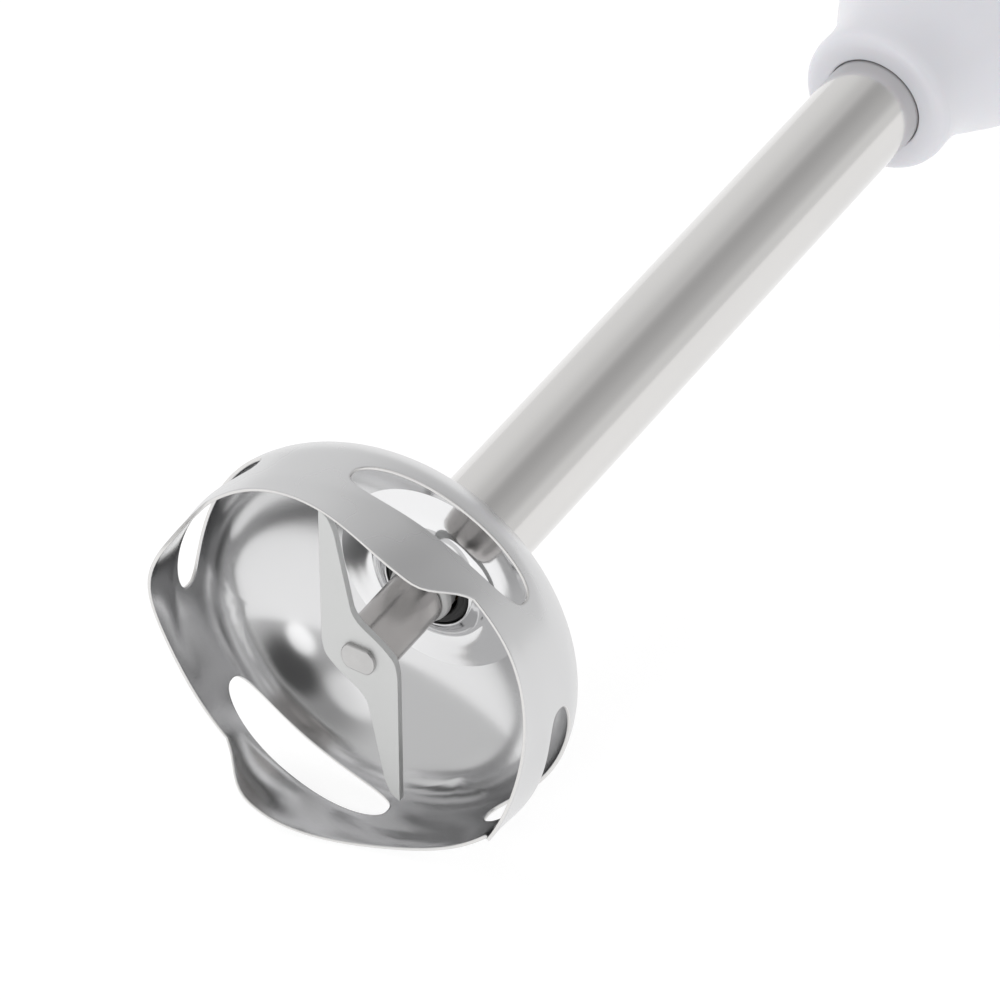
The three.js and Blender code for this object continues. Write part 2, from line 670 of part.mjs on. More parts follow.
function armatureWinding() {
  const body = revolve([
    [MOTOR_SHAFT_RADIUS + GAP, 275.5], [8.6, 275.5], [10, 277.5], [10, CORE_TO + 3], [8.6, CORE_TO + 5.5],
    [MOTOR_SHAFT_RADIUS + GAP, CORE_TO + 5.5], [MOTOR_SHAFT_RADIUS + GAP, 275.5],
  ], ROUND);
  return cut(body, prism(toothedSection(CORE_RADIUS + 1, 6.7, GAP), CORE_FROM - GAP, CORE_TO + GAP));
}

function commutator() {
  const bars = [];
  for (let i = 0; i < CORE_TEETH; i += 1) {
    const groove = block(COMMUTATOR_RADIUS - 0.7, COMMUTATOR_RADIUS + 1, -0.25, 0.25, 311, 325);
    bars.push(groove.rotateZ(radians(30 * i)));
  }
  return cut(ring(MOTOR_SHAFT_RADIUS + GAP, COMMUTATOR_RADIUS, 312, 324, 24), ...bars);
}

function coolingFan() {
  const hub = ring(MOTOR_SHAFT_RADIUS + GAP, 6, 268, 274, SMALL_ROUND);
  const disc = ring(5.5, FAN_RADIUS, 268, 269.2);
  const blades = [];
  for (let i = 0; i < FAN_BLADES; i += 1) {
    const vane = block(5.5, FAN_RADIUS - 0.4, -0.5, 0.5, 268.5, 273.6).rotateZ(radians(12));
    blades.push(vane.translate(0, -1.2, 0).rotateZ(radians((360 / FAN_BLADES) * i)));
  }
  return join(hub, disc, ...blades);
}

function driveDog() {
  const hole = rod(MOTOR_SHAFT_RADIUS + GAP, 188, 201, SMALL_ROUND);
  return cut(rod(4.4, 189.5, 199.5, HEX_SEGMENTS), hole);
}

place('motor_shaft', rod(MOTOR_SHAFT_RADIUS, 190.5, 337, SMALL_ROUND), 'shaftSteel');
place('drive_dog', driveDog(), 'shaftSteel');
place('cooling_fan', coolingFan(), 'nylon');
place('armature_core', armatureCore(), 'laminations');
place('armature_winding', armatureWinding(), 'copper');
place('commutator', commutator(), 'copper');

// ---------------------------------------------------------------- buttons, switches and springs
class Helix extends THREE.Curve {
  constructor(radius, height, turns) {
    super();
    Object.assign(this, { radius, height, turns });
  }

  getPoint(t, target = new THREE.Vector3()) {
    const angle = 2 * Math.PI * this.turns * t;
    return target.set(this.radius * Math.cos(angle), this.radius * Math.sin(angle), this.height * t);
  }
}

// A coil spring that stands upright between the switch and the button's flange.
function buttonSpring(at) {
  const wire = new THREE.Shape();
  wire.absarc(0, 0, SPRING_WIRE, 0, 2 * Math.PI, false);
  const bottom = SWITCH_TOP + GAP + SPRING_WIRE;
  const height = FLANGE_BOTTOM - GAP - SPRING_WIRE - bottom;
  const path = new Helix(2.6, height, SPRING_TURNS);
  const options = { steps: SPRING_TURNS * 9, bevelEnabled: false, extrudePath: path, curveSegments: 3 };
  const coil = new THREE.ExtrudeGeometry(wire, options);
  return coil.rotateY(Math.PI / 2).translate(bottom, 0, at);
}

function button({ at, halfLength, crown }) {
  const cap = plaque(at, halfLength, BUTTON_HALF_WIDTH, 5.6, FLANGE_BOTTOM, crown);
  const crownRadius = halfLength * 3.2;
  const ball = new THREE.SphereGeometry(crownRadius, 24, 18).translate(crown - crownRadius, 0, at);
  const crowned = common(cap, ball);
  const flangeTop = FLANGE_BOTTOM + 1.2;
  const flange = plaque(at, halfLength + 1.6, BUTTON_HALF_WIDTH + 1.6, 6.5, FLANGE_BOTTOM, flangeTop);
  const stem = post(1.4, at, 0, SWITCH_TOP - 1.4, FLANGE_BOTTOM + 0.6, 12);
  return join(crowned, flange, stem);
}

function switchBody(at) {
  const well = post(1.8, at, 0, SWITCH_TOP - 4.2, SWITCH_TOP + 1, 12);
  return cut(block(BOARD_TOP + GAP, SWITCH_TOP, -4.5, 4.5, at - 4.5, at + 4.5), well);
}

place('circuit_board', block(BOARD_TOP - 1.6, BOARD_TOP, -9, 9, 218, 258), 'board');
for (const [name, spec] of Object.entries(BUTTONS)) {
  place(`${name}_switch`, switchBody(spec.at), 'switchPlastic');
  place(`${name}_spring`, buttonSpring(spec.at), 'springSteel');
  place(`${name}_button`, button(spec), 'softGrip');
}

// ---------------------------------------------------------------- end cap fittings
function speedDial() {
  const knob = revolve([
    [0, BODY_END + GAP], [DIAL_RADIUS, BODY_END + GAP], [DIAL_RADIUS, 369],
    [DIAL_RADIUS - 1.6, 371], [0, 371],
  ], ROUND);
  const stem = rod(3, 356, BODY_END + 1, SMALL_ROUND);
  const pointer = block(3, DIAL_RADIUS - 2.5, -0.7, 0.7, 370.2, 372);
  return cut(join(knob, stem), pointer).translate(DIAL_HEIGHT_ABOVE_AXIS, 0, 0);
}

function cordGland() {
  return revolve([
    [3.1, 357], [5.8, 357], [5.8, 360.6], [4.7, 360.6], [4.7, BODY_END + GAP],
    [6.2, BODY_END + GAP], [5.4, 367.5], [3.1, 367.5], [3.1, 357],
  ], SMALL_ROUND).translate(-GLAND_DROP, 0, 0);
}

function speedControl() {
  const can = rod(8, 347, 355.6, SMALL_ROUND).translate(DIAL_HEIGHT_ABOVE_AXIS, 0, 0);
  const collar = ring(3.4, 5, 355, 358.5, SMALL_ROUND).translate(DIAL_HEIGHT_ABOVE_AXIS, 0, 0);
  return join(can, collar);
}

place('speed_dial', speedDial(), 'softGrip');
place('speed_control', speedControl(), 'switchPlastic');
place('cord_gland', cordGland(), 'blackRubber');
place('suppression_capacitor', block(-19, -9, -9, 9, 338, 350), 'carbon');

export default object;
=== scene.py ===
"""Immersion blender: the finished surfaces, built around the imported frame."""
import math

import bmesh
import bpy
from bpy.props import FloatProperty, FloatVectorProperty, PointerProperty
from mathutils import Matrix, Vector


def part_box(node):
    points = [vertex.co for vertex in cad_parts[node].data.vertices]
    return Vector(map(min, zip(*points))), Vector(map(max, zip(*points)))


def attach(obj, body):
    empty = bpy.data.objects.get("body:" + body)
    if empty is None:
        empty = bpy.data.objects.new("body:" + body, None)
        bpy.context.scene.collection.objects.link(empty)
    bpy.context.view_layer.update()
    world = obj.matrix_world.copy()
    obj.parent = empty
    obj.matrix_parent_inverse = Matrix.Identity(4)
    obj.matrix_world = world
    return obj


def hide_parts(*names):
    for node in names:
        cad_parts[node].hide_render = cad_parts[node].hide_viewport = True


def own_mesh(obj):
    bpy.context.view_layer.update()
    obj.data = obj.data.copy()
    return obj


bl_info = {
    "name": "Immersion Blender",
    "version": (1, 0, 0),
    "blender": (4, 5, 0),
    "location": "View3D > Sidebar > Blender",
    "description": "Builds the finished surfaces of an immersion blender around its frame",
    "category": "Object",
}

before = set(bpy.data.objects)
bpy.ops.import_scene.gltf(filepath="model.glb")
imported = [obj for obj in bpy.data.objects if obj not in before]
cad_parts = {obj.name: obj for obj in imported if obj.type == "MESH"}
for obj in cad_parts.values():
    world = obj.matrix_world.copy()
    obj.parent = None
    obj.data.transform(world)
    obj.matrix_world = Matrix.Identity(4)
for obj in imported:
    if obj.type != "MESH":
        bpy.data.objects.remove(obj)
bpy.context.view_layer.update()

MM = 0.001
QUARTER = 90

# The tool frame: X up, Y right, Z along the axis from the blade's front face, in millimetres.
BELL_LOW, BELL_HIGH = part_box("bell_guard")
AXIS_HEIGHT = (BELL_LOW[2] + BELL_HIGH[2]) / 2
BLADE_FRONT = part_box("blade")[0][1]
TOOL_TO_ROW = Matrix((
    (0, MM, 0, 0),
    (0, 0, MM, BLADE_FRONT),
    (MM, 0, 0, AXIS_HEIGHT),
    (0, 0, 0, 1),
))


# ---------------- sizes and colours
class BellSizes(bpy.types.PropertyGroup):
    """Sizes of the bell guard. Levels run along the axis from the blade's front face."""

    radius: FloatProperty(
        name="Radius", description="Outside of the bell's side wall", unit="LENGTH", default=0.033)
    sheet: FloatProperty(
        name="Sheet", description="Thickness of the steel sheet", unit="LENGTH", default=0.0006)
    turn: FloatProperty(
        name="Turn", description="Turn of the slots, the rim and the blade about the axis",
        subtype="ANGLE", default=math.radians(31.5))
    rim_high: FloatProperty(
        name="Rim high", description="Level of the rim between two lobes", unit="LENGTH", default=-0.00345)
    rim_low: FloatProperty(
        name="Rim low", description="Level of the rim at a lobe's tip", unit="LENGTH", default=-0.00957)


COLOUR = {"subtype": "COLOR", "size": 3, "min": 0, "max": 1}


class FinishColours(bpy.types.PropertyGroup):
    """Colours of the main finishes."""

    steel: FloatVectorProperty(
        name="Steel", description="Base colour of the stainless sheet", **COLOUR,
        default=(0.70, 0.70, 0.705))
    sleeve: FloatVectorProperty(
        name="Sleeve", description="Base colour of the blade's dark turned sleeve", **COLOUR,
        default=(0.45, 0.435, 0.425))
    housing: FloatVectorProperty(
        name="Housing", description="Colour of the white moulded plastic", **COLOUR,
        default=(0.69, 0.69, 0.73))
    trim: FloatVectorProperty(
        name="Trim", description="Colour of the grey moulded plastic", **COLOUR,
        default=(0.47, 0.48, 0.50))
    grip: FloatVectorProperty(
        name="Grip", description="Colour of the soft-touch rubber", **COLOUR,
        default=(0.13, 0.135, 0.145))


# ---------------- material helpers
class Finish:
    """A principled material with noise-driven roughness, colour and bump on object coordinates."""

    def __init__(self, name, colour, roughness, metallic=0):
        self.material = bpy.data.materials.new(name)
        self.material.use_nodes = True
        self.nodes = self.material.node_tree.nodes
        self.links = self.material.node_tree.links
        self.shader = self.nodes["Principled BSDF"]
        self.colour = tuple(colour)
        self.shader.inputs["Base Color"].default_value = (*colour, 1)
        self.shader.inputs["Roughness"].default_value = roughness
        self.shader.inputs["Metallic"].default_value = metallic
        self.where = self.nodes.new("ShaderNodeTexCoord").outputs["Object"]
        self.material.diffuse_color = (*colour, 1)

    def stretched(self, scale):
        mapping = self.nodes.new("ShaderNodeMapping")
        mapping.inputs["Scale"].default_value = scale
        self.links.new(self.where, mapping.inputs["Vector"])
        return mapping.outputs["Vector"]

    def around_axis(self):
        """Coordinates whose first part runs along the tool's axis and second away from it."""
        apart = self.nodes.new("ShaderNodeSeparateXYZ")
        self.links.new(self.where, apart.inputs[0])
        drop = self.nodes.new("ShaderNodeMath")
        drop.operation = "SUBTRACT"
        drop.inputs[1].default_value = AXIS_HEIGHT
        self.links.new(apart.outputs["Z"], drop.inputs[0])
        flat = self.nodes.new("ShaderNodeCombineXYZ")
        self.links.new(apart.outputs["X"], flat.inputs["X"])
        self.links.new(drop.outputs[0], flat.inputs["Z"])
        length = self.nodes.new("ShaderNodeVectorMath")
        length.operation = "LENGTH"
        self.links.new(flat.outputs[0], length.inputs[0])
        joined = self.nodes.new("ShaderNodeCombineXYZ")
        self.links.new(apart.outputs["Y"], joined.inputs["X"])
        self.links.new(length.outputs["Value"], joined.inputs["Y"])
        return joined.outputs[0]

    def noise(self, vector, scale, detail=4.0, distortion=0.0):
        node = self.nodes.new("ShaderNodeTexNoise")
        node.inputs["Scale"].default_value = scale
        node.inputs["Detail"].default_value = detail
        node.inputs["Distortion"].default_value = distortion
        self.links.new(vector, node.inputs["Vector"])
        return node.outputs["Fac"]

    def wave(self, direction, scale, distortion):
        node = self.nodes.new("ShaderNodeTexWave")
        node.bands_direction = direction
        node.inputs["Scale"].default_value = scale
        node.inputs["Distortion"].default_value = distortion
        self.links.new(self.where, node.inputs["Vector"])
        return node.outputs["Fac"]

    def spread(self, value, low, high, from_low=0.15, from_high=0.85):
        node = self.nodes.new("ShaderNodeMapRange")
        node.inputs["From Min"].default_value = from_low
        node.inputs["From Max"].default_value = from_high
        node.inputs["To Min"].default_value = low
        node.inputs["To Max"].default_value = high
        self.links.new(value, node.inputs["Value"])
        return node.outputs["Result"]

    def roughen(self, value, low, high):
        self.links.new(self.spread(value, low, high), self.shader.inputs["Roughness"])
        return self

    def tint(self, value, low, high, from_low=0.15, from_high=0.85):
        """Varies the colour between two multiples of itself."""
        ramp = self.nodes.new("ShaderNodeValToRGB")
        ramp.color_ramp.elements[0].position = from_low
        ramp.color_ramp.elements[1].position = from_high
        ramp.color_ramp.elements[0].color = (*[min(1, part * low) for part in self.colour], 1)
        ramp.color_ramp.elements[1].color = (*[min(1, part * high) for part in self.colour], 1)
        self.links.new(value, ramp.inputs["Fac"])
        self.links.new(ramp.outputs["Color"], self.shader.inputs["Base Color"])
        return self

    def bump(self, value, strength, distance=0.0001):
        node = self.nodes.new("ShaderNodeBump")
        node.inputs["Strength"].default_value = strength
        node.inputs["Distance"].default_value = distance
        self.links.new(value, node.inputs["Height"])
        if self.shader.inputs["Normal"].is_linked:
            self.links.new(self.shader.inputs["Normal"].links[0].from_socket, node.inputs["Normal"])
        self.links.new(node.outputs["Normal"], self.shader.inputs["Normal"])
        return self

    def set(self, **values):
        for socket, value in values.items():
            self.shader.inputs[socket.replace("_", " ")].default_value = value
        return self


def colours():
    return bpy.context.scene.finish_colours


FINISHES = {}


def finish(name):
    """The material of that name, made when it is first asked for."""
    if name not in FINISHES:
        made = moulded(name, *MOULDINGS[name]) if name in MOULDINGS else FINISH_MAKERS[name]()
        FINISHES[name] = made.material
    return FINISHES[name]


def satin_sheet():
    """Outside of the bell: satin-polished sheet."""
    made = Finish("satin_sheet", [part * 0.92 for part in colours().steel], 0.27, 1)
    grain = made.noise(made.stretched((900, 260, 900)), 3, 3)
    cloud = made.noise(made.where, 55, 3)
    made.roughen(cloud, 0.235, 0.31)
    made.tint(cloud, 0.97, 1.03)
    return made.bump(grain, 0.06, 0.00003)


def mirror_sheet():
    """Inside of the bell: mirror-polished sheet with the faint ripple of drawn steel."""
    made = Finish("mirror_sheet", [part * 1.01 for part in colours().steel], 0.08, 1)
    ripple = made.noise(made.where, 70, 2)
    fine = made.noise(made.where, 900, 3)
    made.roughen(ripple, 0.11, 0.19)
    made.bump(ripple, 0.08, 0.0004)
    return made.bump(fine, 0.03, 0.00003)


def ceiling_sheet_painted_highlight():
    """Flat plate around the seal: the cleanest polish of the bell, with the steel colour raised by a fifth
    as a painted highlight.
    """
    # Base colour 1.2 times the steel: painted highlight, the same sheet drawn brighter than the dome around
    # it.
    made = Finish("ceiling_sheet_painted_highlight", [part * 1.2 for part in colours().steel], 0.07, 1)
    ripple = made.noise(made.where, 110, 2)
    made.roughen(ripple, 0.05, 0.1)
    return made.bump(ripple, 0.05, 0.0003)


def cut_edge():
    """Sheared edge of the sheet."""
    made = Finish("cut_edge", (0.74, 0.73, 0.72), 0.3, 1)
    grain = made.noise(made.stretched((2600, 500, 2600)), 1, 3)
    made.roughen(grain, 0.22, 0.45)
    return made.bump(grain, 0.35, 0.00006)


def polished_tube():
    """Stick tube: fine polish with faint marks around it."""
    made = Finish("polished_tube", (0.69, 0.68, 0.67), 0.2, 1)
    rings = made.noise(made.around_axis(), 2200, 2)
    cloud = made.noise(made.stretched((60, 18, 60)), 1, 3)
    made.roughen(cloud, 0.11, 0.17)
    made.tint(cloud, 0.97, 1.03)
    return made.bump(rings, 0.05, 0.00003)


def blasted_blade():
    made = Finish("blasted_blade", (0.66, 0.665, 0.66), 0.5, 1)
    grit = made.noise(made.where, 2600, 3)
    cloud = made.noise(made.where, 120, 3)
    made.roughen(cloud, 0.44, 0.56)
    made.tint(cloud, 0.95, 1.04)
    return made.bump(grit, 0.12, 0.00005)


def turned_sleeve():
    made = Finish("turned_sleeve", colours().sleeve, 0.3, 1)
    rings = made.noise(made.around_axis(), 5200, 3)
    cloud = made.noise(made.where, 260, 3)
    made.roughen(rings, 0.2, 0.27)
    made.tint(cloud, 0.96, 1.04)
    return made.bump(rings, 0.03, 0.00003)


def turned_steel():
    made = Finish("turned_steel", (0.56, 0.555, 0.55), 0.3, 1)
    rings = made.noise(made.around_axis(), 3000, 3)
    cloud = made.noise(made.where, 300, 3)
    made.roughen(rings, 0.24, 0.4)
    made.tint(cloud, 0.9, 1.06)
    return made.bump(rings, 0.12, 0.00004)


def moulded(name, colour, roughness, texture, depth):
    """Moulded plastic or rubber with a fine eroded texture."""
    made = Finish(name, colour, roughness)
    grain = made.noise(made.where, texture, 3)
    cloud = made.noise(made.where, 45, 3)
    made.roughen(cloud, roughness * 0.88, roughness * 1.14)
    made.tint(cloud, 0.975, 1.02)
    return made.bump(grain, 0.25, depth)


def white_moulding():
    made = moulded("white_moulding", colours().housing, 0.3, 900, 0.00002)
    return made.set(Coat_Weight=0.15, Coat_Roughness=0.2, Subsurface_Weight=0.06, Subsurface_Scale=0.004)


def grey_moulding():
    return moulded("grey_moulding", colours().trim, 0.42, 1600, 0.00004)


def soft_touch():
    return moulded("soft_touch", colours().grip, 0.62, 2200, 0.00006).set(Sheen_Weight=0.15)


def natural_nylon():
    return moulded("natural_nylon", (0.72, 0.70, 0.63), 0.45, 1500, 0.00004).set(Subsurface_Weight=0.08)


def sintered_bronze():
    made = Finish("sintered_bronze", (0.55, 0.36, 0.17), 0.4, 1)
    pores = made.noise(made.where, 3200, 4)
    made.roughen(pores, 0.3, 0.55)
    made.tint(pores, 0.75, 1.08)
    return made.bump(pores, 0.3, 0.00006)


def stacked_sheet():
    """Electrical steel sheets, seen edge on as fine rings along the axis."""
    made = Finish("stacked_sheet", (0.22, 0.23, 0.25), 0.45, 1)
    rings = made.wave("Y", 600, 0.4)
    made.roughen(rings, 0.35, 0.6)
    made.tint(rings, 0.55, 1.1, 0, 1)
    return made.bump(rings, 0.5, 0.0001)


def enamelled_copper():
    """Wound wire: narrow ridges."""
    made = Finish("enamelled_copper", (0.55, 0.19, 0.07), 0.3, 1)
    wires = made.wave("DIAGONAL", 420, 1.5)
    made.roughen(wires, 0.25, 0.5)
    made.tint(wires, 0.5, 1.15, 0, 1)
    return made.bump(wires, 0.6, 0.0002)


def solder_mask():
    made = moulded("solder_mask", (0.02, 0.16, 0.07), 0.35, 1300, 0.00003)
    tracks = made.nodes.new("ShaderNodeTexVoronoi")
    tracks.inputs["Scale"].default_value = 260
    made.links.new(made.where, tracks.inputs["Vector"])
    return made.tint(tracks.outputs["Distance"], 0.8, 1.5)


MAKERS = (
    satin_sheet, mirror_sheet, ceiling_sheet_painted_highlight, cut_edge, polished_tube, blasted_blade, turned_sleeve,
    turned_steel, white_moulding, grey_moulding, soft_touch, natural_nylon, sintered_bronze,
    stacked_sheet, enamelled_copper, solder_mask,
)
FINISH_MAKERS = {maker.__name__: maker for maker in MAKERS}

# Plain mouldings: colour, roughness, scale and depth of the texture.
MOULDINGS = {
    "ring_moulding": ((0.55, 0.55, 0.545), 0.4, 1600, 0.00004),
    "seal_rubber": ((0.012, 0.012, 0.012), 0.5, 1400, 0.00005),
    "dark_moulding": ((0.02, 0.022, 0.026), 0.45, 1600, 0.00004),
    "pressed_carbon": ((0.03, 0.03, 0.032), 0.6, 3000, 0.00008),
    "capacitor_box": ((0.50, 0.40, 0.06), 0.4, 1200, 0.00003),
}

# Finishes of the CAD nodes that are shown as they are.
CARRIED = {
    "sintered_bronze": (
        "lower_bush", "upper_bush", "front_bearing", "rear_bearing", "left_brush_holder",
        "right_brush_holder"),
    "natural_nylon": ("shaft_coupling", "bayonet_spigot", "cooling_fan"),
    "stacked_sheet": ("stator_core", "armature_core"),
    "enamelled_copper": ("upper_field_coil", "lower_field_coil", "armature_winding", "commutator"),
    "turned_steel": ("front_bracket", "rear_bracket", "motor_shaft", "drive_dog"),
    "pressed_carbon": ("left_brush", "right_brush"),
    "solder_mask": ("circuit_board",),
    "dark_moulding": ("power_switch", "turbo_switch", "speed_control"),
    "capacitor_box": ("suppression_capacitor",),
}


# ---------------- mesh helpers
def new_piece(bm, name, body, materials, replaced=()):
    """Lays a bmesh drawn in the tool frame down in the row frame and makes it a finished piece."""
    bmesh.ops.transform(bm, matrix=TOOL_TO_ROW, verts=bm.verts)
    for face in bm.faces:
        face.smooth = True
    mesh = bpy.data.meshes.new(name)
    bm.to_mesh(mesh)
    bm.free()
    piece = bpy.data.objects.new(name, mesh)
    bpy.context.scene.collection.objects.link(piece)
    for material in materials:
        mesh.materials.append(finish(material))
    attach(piece, body)
    if replaced:
        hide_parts(*replaced)
    return piece


def soften(piece, width, segments=3, angle=35):
    """Rounds a piece's sharp edges and evens out its shading."""
    bevel = piece.modifiers.new("rounded_edges", "BEVEL")
    bevel.width = width * MM
    bevel.segments = segments
    bevel.limit_method = "ANGLE"
    bevel.angle_limit = math.radians(angle)
    bevel.use_clamp_overlap = True
    bevel.miter_outer = "MITER_ARC"
    shading = piece.modifiers.new("even_shading", "WEIGHTED_NORMAL")
    shading.keep_sharp = True
    return piece


def crisp(piece, angle):
    """Keeps a piece's edges sharp where its faces meet at more than an angle."""
    piece.data.set_sharp_from_angle(angle=math.radians(angle))
    shading = piece.modifiers.new("even_shading", "WEIGHTED_NORMAL")
    shading.keep_sharp = True
    return piece


def spun(profile, steps=128, closed=False):
    """A surface turned from a [radius, level] profile, or a ring if the profile is closed."""
    bm = bmesh.new()
    corners = [bm.verts.new((radius, 0, level)) for radius, level in profile]
    edges = [bm.edges.new(pair) for pair in zip(corners, corners[1:])]
    if closed:
        edges.append(bm.edges.new((corners[-1], corners[0])))
    bmesh.ops.spin(
        bm, geom=corners + edges, axis=(0, 0, 1), cent=(0, 0, 0), dvec=(0, 0, 0),
        angle=2 * math.pi, steps=steps, use_merge=True, use_duplicate=False)
    bmesh.ops.remove_doubles(bm, verts=bm.verts, dist=0.0005)
    bmesh.ops.recalc_face_normals(bm, faces=bm.faces)
    return bm


def smoothstep(value):
    value = min(1, max(0, value))
    return value * value * (3 - 2 * value)


def smootherstep(value):
    value = min(1, max(0, value))
    return value ** 3 * (10 - 15 * value + 6 * value * value)


def eased_curve(points, per_span=6):
    """A smooth curve through [radius, level] points, as a list of points."""
    padded = [points[0], *points, points[-1]]
    curve = []
    for index in range(1, len(padded) - 2):
        a, b, c, d = (Vector(point) for point in padded[index - 1:index + 3])
        for step in range(per_span):
            t = step / per_span
            curve.append(tuple(0.5 * (
                2 * b + (c - a) * t + (2 * a - 5 * b + 4 * c - d) * t * t
                + (3 * b - a - 3 * c + d) * t ** 3)))
    curve.append(tuple(points[-1]))
    return curve


# ---------------- bell guard
FALL_FROM = 10
LOBE_TIP = 82
RISE_TO = 104
FALL_POWER = 1.65
RISE_POWER = 1.25
DOME_START = 5.4
DOME_HEIGHT = 18.9
DOME_POWER = 1.94
SLOT_CENTRE = -7
SLOT_HALF_ANGLE = 28.7
SLOT_LEVEL = 3.7
SLOT_HALF_HEIGHT = 3.7
SLOT_SKEW = 0.6
SLOT_POWER = 2.6
PATCH_TOP = 12
PATCH_COLUMNS = 44
PATCH_SIDE_ROWS = 14
PATCH_RINGS = 13
RAY_HEIGHT = 9
RAY_WIDTH = QUARTER / 2
DOME_ROWS = 22
PETAL_FOLD = -0.9
PETAL_BOW = 0.42
TUBE_RADIUS = 8.45


def bell_size(name):
    """One of the bell's sizes, in millimetres."""
    return getattr(bpy.context.scene.bell_sizes, name) / MM


def pattern_turn():
    """Turn of the bell's pattern and the blade about the axis, in degrees."""
    return math.degrees(bpy.context.scene.bell_sizes.turn)


def rim_level(angle):
    """Level of the rim at an angle of the pattern: four lobes that fall slowly and rise quickly."""
    turn = FALL_FROM + (angle - FALL_FROM) % QUARTER
    down = smoothstep(max(0, min(1, (turn - FALL_FROM) / (LOBE_TIP - FALL_FROM))) ** FALL_POWER)
    up = smootherstep(max(0, min(1, (turn - LOBE_TIP) / (RISE_TO - LOBE_TIP))) ** RISE_POWER)
    high = bell_size("rim_high")
    return high - (high - bell_size("rim_low")) * down * (1 - up)


def wall_radius(level):
    """Outside radius of the bell: a straight wall, then the dome."""
    share = min(1, max(0, level - DOME_START) / DOME_HEIGHT)
    return bell_size("radius") * (1 - share ** DOME_POWER) ** (1 / DOME_POWER)


def petal_bow(angle, level):
    """Each petal below a slot is folded along a line under the slot and bows in a little."""
    turn = FALL_FROM + (angle - FALL_FROM) % QUARTER
    window = smoothstep((turn - 22) / 30) * (1 - smoothstep((turn - 88) / 14))
    depth = (PETAL_FOLD - level) / (PETAL_FOLD - rim_level(angle))
    if depth <= 0:
        return 0
    return -PETAL_BOW * window * math.sin(math.pi * min(1, depth) * 0.62)


def bell_point(angle, level):
    """A point of the bell's outside, in the tool frame."""
    radius = wall_radius(level) + petal_bow(angle, level)
    turn = math.radians(angle + pattern_turn())
    return Vector((radius * math.cos(turn), radius * math.sin(turn), level))


def slot_outline(angle):
    """A point of a slot's outline, as degrees around the bell from its middle, and level."""
    across = math.copysign(abs(math.cos(angle)) ** (2 / SLOT_POWER), math.cos(angle))
    along = math.copysign(abs(math.sin(angle)) ** (2 / SLOT_POWER), math.sin(angle))
    return SLOT_HALF_ANGLE * across, SLOT_LEVEL + SLOT_HALF_HEIGHT * along + SLOT_SKEW * math.cos(angle)


def patch_outline():
    """The edge of one quarter of the wall around a slot, anticlockwise, as degrees and level."""
    half = QUARTER / 2
    points = []
    for step in range(PATCH_COLUMNS):
        across = -half + QUARTER * step / PATCH_COLUMNS
        points.append((across, rim_level(across + SLOT_CENTRE)))
    corner = rim_level(half + SLOT_CENTRE)
    for step in range(PATCH_SIDE_ROWS):
        points.append((half, corner + (PATCH_TOP - corner) * step / PATCH_SIDE_ROWS))
    for step in range(PATCH_COLUMNS):
        points.append((half - QUARTER * step / PATCH_COLUMNS, PATCH_TOP))
    for step in range(PATCH_SIDE_ROWS):
        points.append((-half, PATCH_TOP - (PATCH_TOP - corner) * step / PATCH_SIDE_ROWS))
    return points


def slot_patch(bm, quarter):
    """One quarter of the wall: rings of faces from the slot's outline to the patch's edge."""
    outer = patch_outline()
    inner = []
    for across, level in outer:
        angle = math.atan2((level - SLOT_LEVEL) / RAY_HEIGHT, across / RAY_WIDTH)
        inner.append(slot_outline(angle))
    loop = bmesh.ops.create_circle(bm, cap_ends=False, radius=1, segments=len(outer))["verts"]
    ring = sorted(loop, key=lambda corner: math.atan2(corner.co.y, corner.co.x) % (2 * math.pi))
    order = bm.verts.layers.int["order"]
    for index, corner in enumerate(ring):
        corner[order] = index
    edges = [edge for edge in bm.edges if edge.verts[0] in loop and edge.verts[1] in loop]
    centre = SLOT_CENTRE + QUARTER * quarter
    shares = [(step / PATCH_RINGS) ** 1.25 for step in range(PATCH_RINGS + 1)]
    for share in shares:
        if share > 0:
            grown = bmesh.ops.extrude_edge_only(bm, edges=edges)["geom"]
            edges = [part for part in grown if isinstance(part, bmesh.types.BMEdge)]
            ring = [part for part in grown if isinstance(part, bmesh.types.BMVert)]
        for corner in ring:
            start = inner[corner[order]]
            end = outer[corner[order]]
            across = start[0] + (end[0] - start[0]) * share
            level = start[1] + (end[1] - start[1]) * share
            corner.co = bell_point(centre + across, level)
        if share > 0:
            edges = [edge for edge in edges if edge.verts[0] in ring and edge.verts[1] in ring]


def grow_dome(bm):
    """Extrudes the top edge of the four patches up the dome to the crown."""
    top = bell_point(0, PATCH_TOP).z
    edges = [
        edge for edge in bm.edges
        if edge.is_boundary and all(abs(corner.co.z - top) < 0.001 for corner in edge.verts)
    ]
    foot = bell_size("radius")
    first = math.acos(wall_radius(PATCH_TOP) / foot)
    last = math.acos(TUBE_RADIUS / foot)
    for row in range(1, DOME_ROWS + 1):
        radius = foot * math.cos(first + (last - first) * row / DOME_ROWS)
        share = 1 - (radius / foot) ** DOME_POWER
        level = DOME_START + DOME_HEIGHT * share ** (1 / DOME_POWER)
        grown = bmesh.ops.extrude_edge_only(bm, edges=edges)["geom"]
        ring = [part for part in grown if isinstance(part, bmesh.types.BMVert)]
        edges = [
            part for part in grown
            if isinstance(part, bmesh.types.BMEdge) and part.verts[0] in ring and part.verts[1] in ring
        ]
        for corner in ring:
            flat = Vector((corner.co.x, corner.co.y)).normalized() * radius
            corner.co = (flat.x, flat.y, level)


